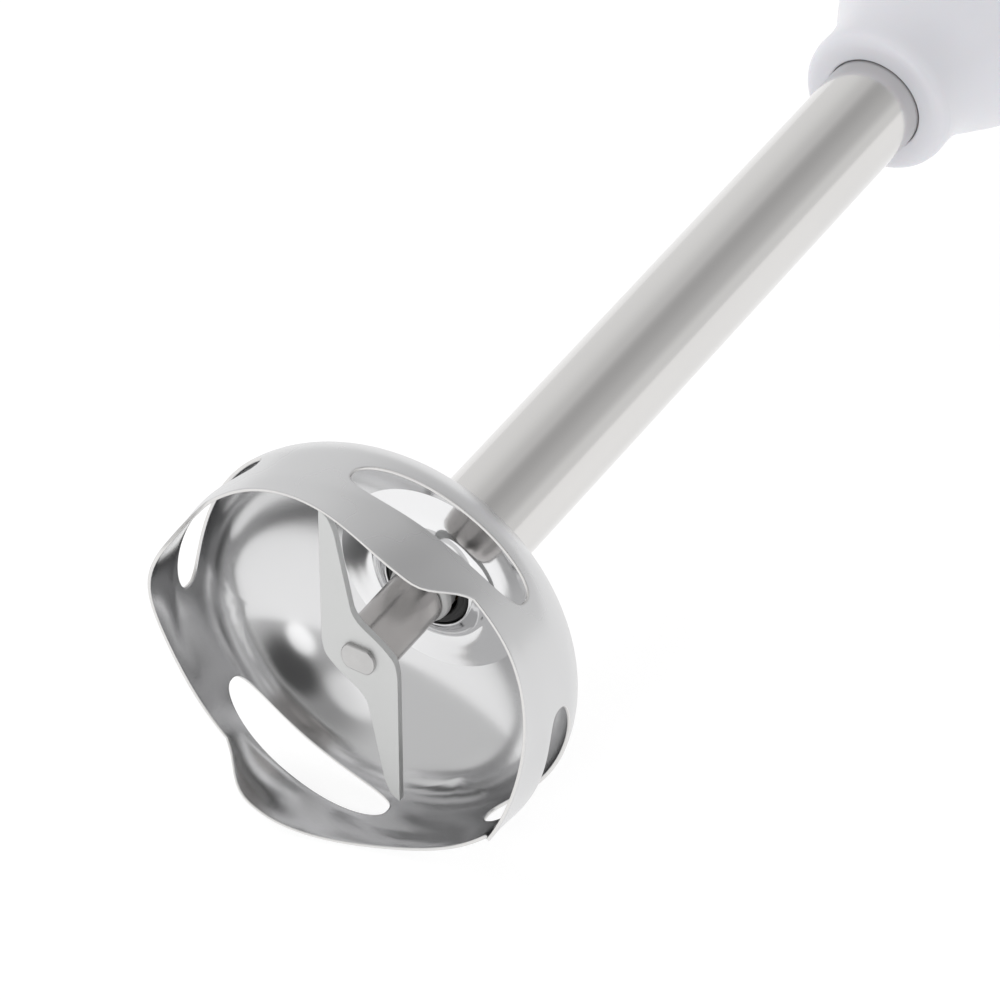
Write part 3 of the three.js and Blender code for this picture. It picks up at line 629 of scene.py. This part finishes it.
class BLENDERTOOL_OT_bell_guard(bpy.types.Operator):
    """Build the bell guard's steel sheet with its slots and wavy rim"""

    bl_idname = "blendertool.bell_guard"
    bl_label = "Bell Guard"

    def execute(self, context):
        bm = bmesh.new()
        bm.verts.layers.int.new("order")
        for quarter in range(4):
            slot_patch(bm, quarter)
        bmesh.ops.remove_doubles(bm, verts=bm.verts, dist=0.01)
        grow_dome(bm)
        bmesh.ops.recalc_face_normals(bm, faces=bm.faces)
        probe = max(bm.faces, key=lambda face: face.calc_center_median().z)
        if probe.normal.z < 0:
            bmesh.ops.reverse_faces(bm, faces=bm.faces)
        bell = new_piece(
            bm, "bell_sheet", "blending_stick",
            ["satin_sheet", "mirror_sheet", "cut_edge"], ["bell_guard"])
        wall = bell.modifiers.new("sheet", "SOLIDIFY")
        wall.thickness = bell_size("sheet") * MM
        wall.offset = -1
        wall.use_even_offset = True
        wall.material_offset = 1
        wall.material_offset_rim = 2
        soften(bell, 0.2, 3, 50)
        ceiling = eased_curve([
            (17.1, 20.96), (15.6, 21.08), (13.6, 21.2), (11.6, 21.24), (10.2, 21.08), (9.1, 20.62),
            (8.2, 19.9), (7.62, 19.34), (7.35, 19.25),
        ], 5)
        neck = spun([*ceiling, (7.3, 19.6), (7.3, 22.6), (9, 22.8), (17.1, 21.1)], 160, closed=True)
        new_piece(neck, "bell_neck", "blending_stick", ["ceiling_sheet_painted_highlight"], ["bell_guard"])
        return {"FINISHED"}


# ---------------- blade, shaft, sleeve and seal
WING = [
    (-2.8, -6.1), (18.8, -19.3), (18.9, -17.6), (17.4, -15.4),
    (6.4, -5.4), (5.6, -3.3), (5.5, 1.0), (4.8, 4.3),
]
CORNER_EASE = (3.0, 0.25, 0.7, 1.6, 2.2, 1.2, 4.0, 2.5)
BLADE_THICKNESS = 1.2
SHAFT_RADIUS = 2.7
SHAFT_END = 186
HEAD_RADIUS = 2.95
HEAD_FLAT = 0.8
HEAD_PROUD = 0.68
HEAD_TURN = 60
SLEEVE_RADIUS = 4.6


def turned_by(bm, degrees):
    bmesh.ops.rotate(
        bm, cent=(0, 0, 0), matrix=Matrix.Rotation(math.radians(degrees), 3, "Z"), verts=bm.verts)
    return bm


def plate(outline, bottom, top):
    """A flat plate of an outline in the tool frame's X and Y."""
    bm = bmesh.new()
    corners = [bm.verts.new((x, y, bottom)) for x, y in outline]
    face = bm.faces.new(corners)
    grown = bmesh.ops.extrude_face_region(bm, geom=[face])["geom"]
    moved = [part for part in grown if isinstance(part, bmesh.types.BMVert)]
    bmesh.ops.translate(bm, vec=(0, 0, top - bottom), verts=moved)
    bmesh.ops.recalc_face_normals(bm, faces=bm.faces)
    return bm


def two_flats(radius, steps=64):
    """A circle with two flats."""
    outline = []
    for step in range(steps):
        angle = 2 * math.pi * step / steps
        side = max(-HEAD_FLAT * radius, min(HEAD_FLAT * radius, radius * math.sin(angle)))
        outline.append((radius * math.cos(angle), side))
    return outline


def blade_outline():
    """Both wings, with the hollows beside the hub and the corners at the tips eased."""
    corners = [*WING, *[(-x, -y) for x, y in WING]]
    outline = []
    for index, corner in enumerate(corners):
        before = Vector(corners[index - 1])
        here = Vector(corner)
        after = Vector(corners[(index + 1) % len(corners)])
        room = 0.45 * min((before - here).length, (after - here).length)
        reach = min(CORNER_EASE[index % len(WING)], room)
        start = here + (before - here).normalized() * reach
        end = here + (after - here).normalized() * reach
        for step in range(7):
            t = step / 6
            outline.append(tuple(start * (1 - t) ** 2 + here * 2 * t * (1 - t) + end * t * t))
    return outline


class BLENDERTOOL_OT_blade(bpy.types.Operator):
    """Build the blade, its shaft, the sleeve behind it, the ring and the seal"""

    bl_idname = "blendertool.blade"
    bl_label = "Blade and Shaft"

    def execute(self, context):
        turn = pattern_turn()
        blade = new_piece(
            turned_by(plate(blade_outline(), 0, BLADE_THICKNESS), turn), "blade_wings", "blade_assembly",
            ["blasted_blade"], ["blade"])
        soften(blade, 0.14)
        head = turned_by(plate(two_flats(HEAD_RADIUS), -HEAD_PROUD, 0.6), turn + HEAD_TURN)
        soften(new_piece(head, "shaft_head", "blade_assembly", ["turned_steel"]), 0.3, 2)
        shaft = spun([
            (0, 0.4), (SHAFT_RADIUS, 0.4), (SHAFT_RADIUS, SHAFT_END - 0.4), (2.3, SHAFT_END),
            (0, SHAFT_END),
        ], 48)
        soften(new_piece(
            shaft, "drive_shaft_rod", "blade_assembly", ["turned_steel"],
            ["drive_shaft"]), 0.1)
        sleeve = spun([
            (3, 1.3), (4.35, 1.3), (SLEEVE_RADIUS, 1.55), (SLEEVE_RADIUS, 15.9), (4.3, 16.3), (3, 16.3),
        ], closed=True)
        soften(new_piece(
            sleeve, "sleeve_barrel", "blade_assembly", ["turned_sleeve"],
            ["blade_sleeve"]), 0.08)
        ring = spun([
            (3, 16.4), (4.6, 16.4), (5.1, 16.9), (5.2, 17.6), (5.2, 18.1), (4.8, 18.3), (4.8, 20), (3, 20),
        ], closed=True)
        soften(new_piece(
            ring, "thrust_washer", "blade_assembly", ["ring_moulding"],
            ["thrust_ring"]), 0.15)
        seal = spun([
            (5.35, 19.4), (5.7, 18.95), (6.2, 19.3), (6.7, 19.15), (7.25, 19.9), (7.25, 23.2), (5.35, 23.2),
        ], closed=True)
        soften(new_piece(
            seal, "lip_seal", "blending_stick", ["seal_rubber"], ["shaft_seal"]), 0.15)
        return {"FINISHED"}


# ---------------- stick tube and collar
TUBE_WALL = 1
TUBE_START = 23.3
TUBE_END = 176


class BLENDERTOOL_OT_stick(bpy.types.Operator):
    """Build the stick's polished tube and its plastic collar"""

    bl_idname = "blendertool.stick"
    bl_label = "Tube and Collar"

    def execute(self, context):
        inner = TUBE_RADIUS - TUBE_WALL
        tube = spun([
            (inner, TUBE_START), (TUBE_RADIUS, TUBE_START), (TUBE_RADIUS, 100), (TUBE_RADIUS, TUBE_END),
            (inner, TUBE_END),
        ], 160, closed=True)
        soften(new_piece(
            tube, "stick_tube", "blending_stick", ["polished_tube"], ["shaft_tube"]), 0.1)
        nose = eased_curve([
            (8.62, 159.75), (10.4, 159.78), (11.6, 159.95), (12.5, 160.4), (13.0, 161.2), (13.2, 162.3),
        ], 5)
        flare = eased_curve([
            (13.2, 162.3), (13.2, 167.5), (14.3, 172.8), (17.3, 179.4), (20.15, 186), (21.5, 193),
            (22, 199.8),
        ], 6)
        collar = spun([
            (8.5, 161.2), (8.52, 160.0), *nose[:-1], *flare, (16.3, 199.8), (16.3, 186), (8.55, 184),
        ], 160, closed=True)
        soften(new_piece(
            collar, "collar_shell", "blending_stick", ["white_moulding"],
            ["stick_collar"]), 0.25, 3, 50)
        return {"FINISHED"}


# ---------------- shaping with solid tools
def as_object(bm, name):
    mesh = bpy.data.meshes.new(name)
    bm.to_mesh(mesh)
    bm.free()
    held = bpy.data.objects.new(name, mesh)
    bpy.context.scene.collection.objects.link(held)
    return held


def drop(held):
    mesh = held.data
    bpy.data.objects.remove(held)
    bpy.data.meshes.remove(mesh)


def carved(bm, *tools, operation="DIFFERENCE"):
    """The closed shape after each tool has been cut out of it, or kept in common with it."""
    work = as_object(bm, "work")
    for tool in tools:
        cutter = as_object(tool, "tool")
        step = work.modifiers.new("cut", "BOOLEAN")
        step.solver = "EXACT"
        step.operation = operation
        step.object = cutter
        result = bpy.data.meshes.new_from_object(work.evaluated_get(bpy.context.evaluated_depsgraph_get()))
        work.modifiers.clear()
        before = work.data
        work.data = result
        bpy.data.meshes.remove(before)
        drop(cutter)
    if not work.data.polygons:
        raise RuntimeError("a cut left nothing of the shape")
    shaped = bmesh.new()
    shaped.from_mesh(work.data)
    drop(work)
    bmesh.ops.remove_doubles(shaped, verts=shaped.verts, dist=0.02)
    bmesh.ops.dissolve_degenerate(shaped, dist=0.0005, edges=shaped.edges)
    bmesh.ops.holes_fill(shaped, edges=[edge for edge in shaped.edges if edge.is_boundary], sides=4)
    bmesh.ops.connect_verts_concave(shaped, faces=[face for face in shaped.faces if len(face.verts) > 4])
    return shaped


def together(*parts):
    """Several closed shapes as one mesh."""
    whole = bmesh.new()
    for part in parts:
        mesh = bpy.data.meshes.new("part")
        part.to_mesh(mesh)
        part.free()
        whole.from_mesh(mesh)
        bpy.data.meshes.remove(mesh)
    return whole


def rounded_plate(length, width, corner, bottom, top, segments=12):
    """A plate with rounded corners, its length along X and its width along Y."""
    bm = bmesh.new()
    bmesh.ops.create_grid(bm, x_segments=1, y_segments=1, size=0.5)
    bmesh.ops.scale(bm, vec=(length, width, 1), verts=bm.verts)
    bmesh.ops.bevel(
        bm, geom=bm.verts[:], offset=corner, offset_type="OFFSET", segments=segments, profile=0.5,
        affect="VERTICES", material=-1, clamp_overlap=True)
    grown = bmesh.ops.extrude_face_region(bm, geom=bm.faces[:])["geom"]
    moved = [part for part in grown if isinstance(part, bmesh.types.BMVert)]
    bmesh.ops.translate(bm, vec=(0, 0, top - bottom), verts=moved)
    bmesh.ops.translate(bm, vec=(0, 0, bottom), verts=bm.verts)
    bmesh.ops.recalc_face_normals(bm, faces=bm.faces)
    return bm


def upright(bm, level, side=0.0):
    """Stands a shape drawn around Z upright on the tool, at a level and a distance to the right."""
    stand = Matrix(((0, 0, 1, 0), (0, 1, 0, side), (1, 0, 0, level), (0, 0, 0, 1)))
    bmesh.ops.transform(bm, matrix=stand, verts=bm.verts)
    bmesh.ops.recalc_face_normals(bm, faces=bm.faces)
    return bm


def crossways_block(up, side, level):
    """A block between two heights, two sides and two levels."""
    bm = bmesh.new()
    bmesh.ops.create_cube(bm, size=1)
    spans = [high - low for low, high in (up, side, level)]
    centre = [(high + low) / 2 for low, high in (up, side, level)]
    bmesh.ops.scale(bm, vec=spans, verts=bm.verts)
    bmesh.ops.translate(bm, vec=centre, verts=bm.verts)
    return bm


def coil_spring(radius, wire, bottom, top, turns, steps_per_turn=28):
    """A coil around Z between two levels, closed at both ends of its wire."""
    bm = bmesh.new()
    bmesh.ops.create_circle(bm, cap_ends=True, radius=wire, segments=12)
    bmesh.ops.rotate(bm, cent=(0, 0, 0), matrix=Matrix.Rotation(math.pi / 2, 3, "X"), verts=bm.verts)
    bmesh.ops.translate(bm, vec=(radius, 0, bottom + wire), verts=bm.verts)
    steps = turns * steps_per_turn
    bmesh.ops.spin(
        bm, geom=bm.verts[:] + bm.edges[:] + bm.faces[:], axis=(0, 0, 1), cent=(0, 0, 0),
        dvec=(0, 0, (top - bottom - 2 * wire) / steps), angle=2 * math.pi * turns, steps=steps,
        use_merge=False, use_duplicate=False)
    bmesh.ops.recalc_face_normals(bm, faces=bm.faces)
    return bm


def peg(radius, bottom, top, steps=48):
    return spun([(0, bottom), (radius, bottom), (radius, top), (0, top)], steps)


# ---------------- motor body
BODY_START = 200.15
CAP_START = 348
BODY_END = 364
BODY_WALL = 3
HALF_GAP = 0.15
BEYOND = 60
INLAY_DEPTH = 1.7
BODY_SIDE = eased_curve([
    (22, 200.15), (22.6, 208), (25.2, 227), (27.6, 248), (28.7, 272), (28.8, 300),
    (27.8, 332), (26.2, 350), (24.9, 357), (22.9, 361.6), (19.4, 363.9), (19, 364),
], 7)
GRIP_FROM = 204
GRIP_TO = 256
GRIP_UP = 0.96
GRIP_DOWN = 1.21
BELLY = 33
PANEL = {"level": 241, "length": 58, "width": 21, "corner": 9}
PAD = {"level": 296, "length": 74, "width": 28, "corner": 9}
BUTTONS = {
    "power_button": {"level": 230, "length": 16, "crown": 26.6},
    "turbo_button": {"level": 253, "length": 14, "crown": 28.4},
}
BUTTON_WIDTH = 12.4
FLANGE_BOTTOM = 18.6
SPRING_BOTTOM = 14.2
SPRING_TOP = 18.3
SCREWS = {
    "housing_screw_1": (211, 13.5, -17),
    "housing_screw_2": (211, -13.5, -17),
    "housing_screw_3": (341, 18.5, -20),
    "housing_screw_4": (341, -18.5, -20),
}
DIAL_UP = 5
GLAND_DOWN = 14.5


def side_radius(level):
    for (r0, z0), (r1, z1) in zip(BODY_SIDE, BODY_SIDE[1:]):
        if z0 <= level <= z1:
            return r0 + (r1 - r0) * (level - z0) / (z1 - z0)
    return BODY_SIDE[-1][0] if level > BODY_END else BODY_SIDE[0][0]


def body_form(inset, start, end, steps=144):
    """The motor body's outside, moved inwards: round at the neck, deeper and flat at the belly."""
    rows = [(radius - inset, level) for radius, level in BODY_SIDE if start < level < end]
    first = (side_radius(start) - inset, start)
    last = (side_radius(end) - inset, end)
    bm = spun([(0, start), first, *rows, last, (0, end)], steps)
    for corner in bm.verts:
        share = smoothstep((corner.co.z - GRIP_FROM) / (GRIP_TO - GRIP_FROM))
        reach = GRIP_UP if corner.co.x > 0 else GRIP_DOWN
        corner.co.x = max(corner.co.x * (1 + (reach - 1) * share), inset - BELLY)
    return bm


def patch_tool(patch, margin, bottom, top):
    plate_bm = rounded_plate(
        patch["length"] + 2 * margin, patch["width"] + 2 * margin, patch["corner"] + margin, bottom, top)
    return upright(plate_bm, patch["level"])


def button_tool(spec, margin, top):
    size = {"level": spec["level"], "length": spec["length"], "width": BUTTON_WIDTH, "corner": 5.6}
    return patch_tool(size, margin, FLANGE_BOTTOM, top)


class BLENDERTOOL_OT_housings(bpy.types.Operator):
    """Build the two halves of the motor housing and their screws"""

    bl_idname = "blendertool.housings"
    bl_label = "Housings"

    def execute(self, context):
        split = CAP_START - 0.3
        shell = carved(
            body_form(0, BODY_START, split),
            body_form(BODY_WALL, BODY_START + 2.4, CAP_START + 5),
            peg(16, BODY_START - 1, BODY_START + 4, 96),
        )
        lower = shell.copy()
        above = crossways_block((HALF_GAP, BEYOND), (-BEYOND, BEYOND), (190, 360))
        below = crossways_block((-BEYOND, -HALF_GAP), (-BEYOND, BEYOND), (190, 360))
        upper = carved(carved(shell, above, operation="INTERSECT"), patch_tool(PANEL, 0.3, 5, 50))
        soften(new_piece(
            upper, "upper_shell", "motor_body", ["white_moulding"], ["upper_housing"]),
            0.35, 3, 50)
        lower_half = carved(lower, below, operation="INTERSECT")
        wells = [upright(peg(3.4, -40, head + 3), level, side) for level, side, head in SCREWS.values()]
        lower_shell = carved(lower_half, patch_tool(PAD, 0.3, -50, -5), *wells)
        posts = [self.post(level, side, head + 3, split) for level, side, head in SCREWS.values()]
        crisp(new_piece(
            together(lower_shell, *posts), "lower_shell", "motor_body",
            ["white_moulding"], ["lower_housing"]), 50)
        for name, (level, side, head) in SCREWS.items():
            seat = head + 2.7
            driver = [
                crossways_block((-1.5, 1.5), (-0.35, 0.35), (head - 1, head + 1.5)),
                crossways_block((-0.35, 0.35), (-1.5, 1.5), (head - 1, head + 1.5)),
            ]
            screw = carved(spun([
                (0, head), (2.0, head + 0.05), (2.7, head + 0.4), (3, head + 0.9), (3, seat), (1.2, seat),
                (1.2, 7), (0, 8.2),
            ], 40), *driver)
            soften(new_piece(
                upright(screw, level, side), name.replace("housing", "case"), "motor_body",
                ["turned_steel"], [name]), 0.06, 2, 50)
        return {"FINISHED"}

    def post(self, level, side, seat, split):
        """A hollow post for a screw, from the middle of the wall to the joint line."""
        solid = carved(
            upright(peg(4.6, -40, -HALF_GAP), level, side),
            body_form(BODY_WALL / 2, BODY_START, split), operation="INTERSECT")
        return carved(
            solid, upright(peg(3.3, -40, seat), level, side), upright(peg(1.8, -40, 1), level, side))


class BLENDERTOOL_OT_controls(bpy.types.Operator):
    """Build the control panel, the two buttons and the grip pad"""

    bl_idname = "blendertool.controls"
    bl_label = "Controls and Grip"

    def execute(self, context):
        skin = carved(body_form(-0.4, BODY_START, BODY_END), body_form(INLAY_DEPTH, BODY_START, BODY_END))
        panel = carved(
            carved(skin, patch_tool(PANEL, 0, 5, 50), operation="INTERSECT"),
            *[button_tool(spec, 0.4, 40) for spec in BUTTONS.values()])
        soften(new_piece(
            panel, "button_panel", "motor_body", ["grey_moulding"], ["control_panel"]),
            0.3, 3, 40)
        for name, spec in BUTTONS.items():
            reach = spec["length"] * 1.6
            ball = bmesh.new()
            bmesh.ops.create_uvsphere(ball, u_segments=96, v_segments=64, radius=reach)
            bmesh.ops.translate(ball, vec=(spec["crown"] - reach, 0, spec["level"]), verts=ball.verts)
            cap = carved(button_tool(spec, 0, spec["crown"]), ball, operation="INTERSECT")
            grips = [
                crossways_block(
                    (spec["crown"] - 0.75, spec["crown"] + 2), (-3.6, 3.6), (level - 0.35, level + 0.35))
                for level in (spec["level"] - 2.4, spec["level"], spec["level"] + 2.4)
            ]
            cap = carved(cap, *grips)
            flange = {"level": spec["level"], "length": spec["length"] + 3.2, "width": 15.6, "corner": 6.5}
            foot = patch_tool(flange, 0, FLANGE_BOTTOM, FLANGE_BOTTOM + 1.2)
            stem = upright(peg(1.4, 12.5, FLANGE_BOTTOM + 0.6, 32), spec["level"])
            soften(new_piece(
                together(cap, foot, stem), name.replace("button", "key"), name,
                ["soft_touch"], [name]), 0.35, 3, 40)
            use = name.replace("_button", "")
            coil = new_piece(
                upright(coil_spring(2.6, 0.32, SPRING_BOTTOM, SPRING_TOP, 3), spec["level"]), f"{use}_coil",
                "motor_body", ["turned_steel"], [f"{use}_spring"])
            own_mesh(coil)
        band = carved(body_form(0, BODY_START, BODY_END), body_form(INLAY_DEPTH, BODY_START, BODY_END))
        pad = carved(band, patch_tool(PAD, 0, -50, -5), operation="INTERSECT")
        ribs = []
        for step in range(-7, 8):
            level = PAD["level"] + 4.2 * step
            groove = rounded_plate(1.1, 21, 0.5, -BELLY - 2, -BELLY + 0.55, 6)
            ribs.append(upright(groove, level))
        pad = carved(pad, *ribs)
        crisp(new_piece(pad, "ribbed_grip", "motor_body", ["soft_touch"], ["grip_pad"]), 40)
        return {"FINISHED"}


class BLENDERTOOL_OT_end_cap(bpy.types.Operator):
    """Build the end cap with its vents, the speed dial and the cord's gland"""

    bl_idname = "blendertool.end_cap"
    bl_label = "End Cap and Dial"

    def execute(self, context):
        dial_hole = peg(3.5, BODY_END - 5, BODY_END + 1)
        gland_hole = peg(5, BODY_END - 5, BODY_END + 1)
        bmesh.ops.translate(dial_hole, vec=(DIAL_UP, 0, 0), verts=dial_hole.verts)
        bmesh.ops.translate(gland_hole, vec=(-GLAND_DOWN, 0, 0), verts=gland_hole.verts)
        vents = []
        for step in range(-2, 3):
            for sign in (-1, 1):
                slit = rounded_plate(6.5, 1.8, 0.85, 14, 40, 6)
                lean = Matrix((
                    (0, 1, 0, 4 * step), (0, 0, sign, 0), (1, 0, 0, CAP_START + 5.75), (0, 0, 0, 1)))
                bmesh.ops.transform(slit, matrix=lean, verts=slit.verts)
                bmesh.ops.recalc_face_normals(slit, faces=slit.faces)
                vents.append(slit)
        cap = carved(
            body_form(0, CAP_START, BODY_END), body_form(BODY_WALL, CAP_START - 1, BODY_END - 3),
            dial_hole, gland_hole, *vents)
        soften(new_piece(
            cap, "rear_cap", "motor_body", ["grey_moulding"], ["end_cap"]), 0.3, 3, 40)
        knob = spun([
            (0, 364.35), (10.6, 364.35), (10.9, 364.7), (10.9, 368.6), (10.6, 369.8), (9.9, 370.6),
            (8.8, 370.95), (7.6, 370.6), (0, 370.2),
        ], 144)
        for corner in knob.verts:
            flat = Vector((corner.co.x, corner.co.y))
            if flat.length > 10.55:
                ridge = 0.5 - 0.5 * math.cos(36 * math.atan2(flat.y, flat.x))
                flat *= 1 - 0.035 * ridge
                corner.co.x, corner.co.y = flat
        pointer = rounded_plate(5.4, 1.2, 0.55, 369.8, 373, 6)
        bmesh.ops.translate(pointer, vec=(5.6, 0, 0), verts=pointer.verts)
        knob = carved(knob, pointer)
        whole = together(knob, peg(3, 356, 364.5))
        bmesh.ops.translate(whole, vec=(DIAL_UP, 0, 0), verts=whole.verts)
        soften(new_piece(
            whole, "dial_knob", "speed_dial", ["soft_touch"], ["speed_dial"]), 0.15, 2, 45)
        gland = spun([
            (3.1, 357), (5.8, 357), (5.8, 360.6), (4.7, 360.6), (4.7, 364.3), (6.1, 364.3), (6.1, 365.1),
            (5.6, 365.3), (5.6, 365.7), (5.9, 365.9), (5.8, 366.5), (5.3, 366.7), (5.3, 367.1), (5.4, 367.2),
            (5.2, 367.5), (3.1, 367.5),
        ], 64, closed=True)
        bmesh.ops.translate(gland, vec=(-GLAND_DOWN, 0, 0), verts=gland.verts)
        soften(new_piece(
            gland, "cord_grommet", "motor_body", ["seal_rubber"],
            ["cord_gland"]), 0.12, 2, 45)
        return {"FINISHED"}


# ---------------- carried CAD nodes
class BLENDERTOOL_OT_inner_works(bpy.types.Operator):
    """Give the pieces inside the blender their finishes"""

    bl_idname = "blendertool.inner_works"
    bl_label = "Inner Works"

    def execute(self, context):
        for name, nodes in CARRIED.items():
            for node in nodes:
                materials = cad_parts[node].data.materials
                materials.clear()
                materials.append(finish(name))
        return {"FINISHED"}


# ---------------- stage
CAMERA_LENS = 234
CAMERA_FROM_BLADE = (394.2, -607.6, 644.5)
CAMERA_FACING = (-0.3963, 0.6517, -0.6467)
CAMERA_ROLL = -0.33
FLOOR_GLOW = 0.80
TENT_LIGHT = 0.68
TENT_AREAS = (
    # towards, where it starts and where it is full as cosines, change of light
    ((0.40, 0.65, 0.65), 0.86, 0.97, -0.20),
    ((-0.90, 0.40, 0.25), 0.55, 0.95, 0.22),
    ((0.90, 0.40, 0.15), 0.55, 0.95, 0.14),
    ((0.55, -0.60, 0.58), 0.72, 0.96, -0.34),
    ((0.66, -0.62, 0.42), 0.93, 0.98, -0.26),
    ((0.53, -0.84, 0.13), 0.988, 0.993, 0.9),
    ((0.12, -0.86, 0.50), 0.955, 0.990, 0.5),
)


class BLENDERTOOL_OT_stage(bpy.types.Operator):
    """Set up the floor, the soft light and the camera"""

    bl_idname = "blendertool.stage"
    bl_label = "Stage"

    def execute(self, context):
        scene = context.scene
        scene.view_settings.view_transform = "Standard"
        floor = bmesh.new()
        bmesh.ops.create_grid(floor, x_segments=2, y_segments=2, size=4)
        mesh = bpy.data.meshes.new("floor")
        floor.to_mesh(mesh)
        floor.free()
        ground = bpy.data.objects.new("floor", mesh)
        scene.collection.objects.link(ground)
        paper = Finish("pale_floor", (0.28, 0.28, 0.28), 0.9)
        paper.tint(paper.noise(paper.where, 4, 2), 0.995, 1.005)
        paper.set(Emission_Color=(1, 1, 1, 1), Emission_Strength=FLOOR_GLOW, Specular_IOR_Level=0)
        mesh.materials.append(paper.material)
        self.tent(scene)
        self.lamps(scene)
        self.camera(scene)
        return {"FINISHED"}

    def tent(self, scene):
        """A pale light tent: brighter windows at its sides, shade overhead and around the camera."""
        world = bpy.data.worlds.new("light_tent")
        scene.world = world
        world.use_nodes = True
        nodes = world.node_tree.nodes
        links = world.node_tree.links
        where = nodes.new("ShaderNodeTexCoord").outputs["Generated"]
        light = None
        for towards, start, full, change in TENT_AREAS:
            dot = nodes.new("ShaderNodeVectorMath")
            dot.operation = "DOT_PRODUCT"
            dot.inputs[1].default_value = Vector(towards).normalized()
            links.new(where, dot.inputs[0])
            area = nodes.new("ShaderNodeMapRange")
            area.interpolation_type = "SMOOTHSTEP"
            area.inputs["From Min"].default_value = start
            area.inputs["From Max"].default_value = full
            area.inputs["To Max"].default_value = change
            links.new(dot.outputs["Value"], area.inputs["Value"])
            total = nodes.new("ShaderNodeMath")
            total.operation = "ADD"
            total.inputs[1].default_value = TENT_LIGHT
            if light:
                links.new(light, total.inputs[1])
            links.new(area.outputs["Result"], total.inputs[0])
            light = total.outputs[0]
        links.new(light, nodes["Background"].inputs["Color"])

    def lamps(self, scene):
        """Soft lamps for the floor and the matt surfaces; polished ones see the tent instead."""
        for name, place, size, energy in (
            ("key_softbox", (-0.9, -0.2, 1.3), 0.9, 5),
            ("fill_softbox", (1.3, 0.3, 0.9), 0.9, 3),
            ("front_softbox", (0.2, -1.3, 0.55), 0.7, 5),
        ):
            light = bpy.data.lights.new(name, "AREA")
            light.size = size
            light.energy = energy
            lamp = bpy.data.objects.new(name, light)
            lamp.location = place
            lamp.rotation_euler = (-Vector(place)).to_track_quat("-Z", "Y").to_euler()
            lamp.visible_glossy = False
            scene.collection.objects.link(lamp)

    def camera(self, scene):
        data = bpy.data.cameras.new("camera")
        data.sensor_width = 36
        data.lens = CAMERA_LENS
        data.clip_end = 50
        camera = bpy.data.objects.new("camera", data)
        blade_centre = Vector((0, BLADE_FRONT, AXIS_HEIGHT))
        facing = Vector(CAMERA_FACING).to_track_quat("-Z", "Y").to_matrix()
        level = facing @ Matrix.Rotation(math.radians(CAMERA_ROLL), 3, "Z")
        place = Matrix.Translation(blade_centre + Vector(CAMERA_FROM_BLADE) * MM)
        camera.matrix_world = place @ level.to_4x4()
        scene.collection.objects.link(camera)
        scene.camera = camera


# ---------------- panel and running
BUILDERS = (
    ("stage", BLENDERTOOL_OT_stage),
    ("inner_works", BLENDERTOOL_OT_inner_works),
    ("bell_guard", BLENDERTOOL_OT_bell_guard),
    ("blade", BLENDERTOOL_OT_blade),
    ("stick", BLENDERTOOL_OT_stick),
    ("housings", BLENDERTOOL_OT_housings),
    ("controls", BLENDERTOOL_OT_controls),
    ("end_cap", BLENDERTOOL_OT_end_cap),
)


class BLENDERTOOL_PT_panel(bpy.types.Panel):
    """Lists the pieces that can be built"""

    bl_idname = "BLENDERTOOL_PT_panel"
    bl_label = "Immersion Blender"
    bl_space_type = "VIEW_3D"
    bl_region_type = "UI"
    bl_category = "Blender"

    def draw(self, context):
        for name, _ in BUILDERS:
            self.layout.operator(f"blendertool.{name}")
        for prop in BellSizes.__annotations__:
            self.layout.prop(context.scene.bell_sizes, prop)
        for prop in FinishColours.__annotations__:
            self.layout.prop(context.scene.finish_colours, prop)


CLASSES = (BellSizes, FinishColours, *[operator for _, operator in BUILDERS], BLENDERTOOL_PT_panel)


def register():
    for cls in CLASSES:
        bpy.utils.register_class(cls)
    bpy.types.Scene.bell_sizes = PointerProperty(type=BellSizes)
    bpy.types.Scene.finish_colours = PointerProperty(type=FinishColours)


def unregister():
    del bpy.types.Scene.finish_colours
    del bpy.types.Scene.bell_sizes
    for cls in reversed(CLASSES):
        bpy.utils.unregister_class(cls)


def main():
    register()
    for name, _ in BUILDERS:
        getattr(bpy.ops.blendertool, name)()


if __name__ == "__main__":
    main()
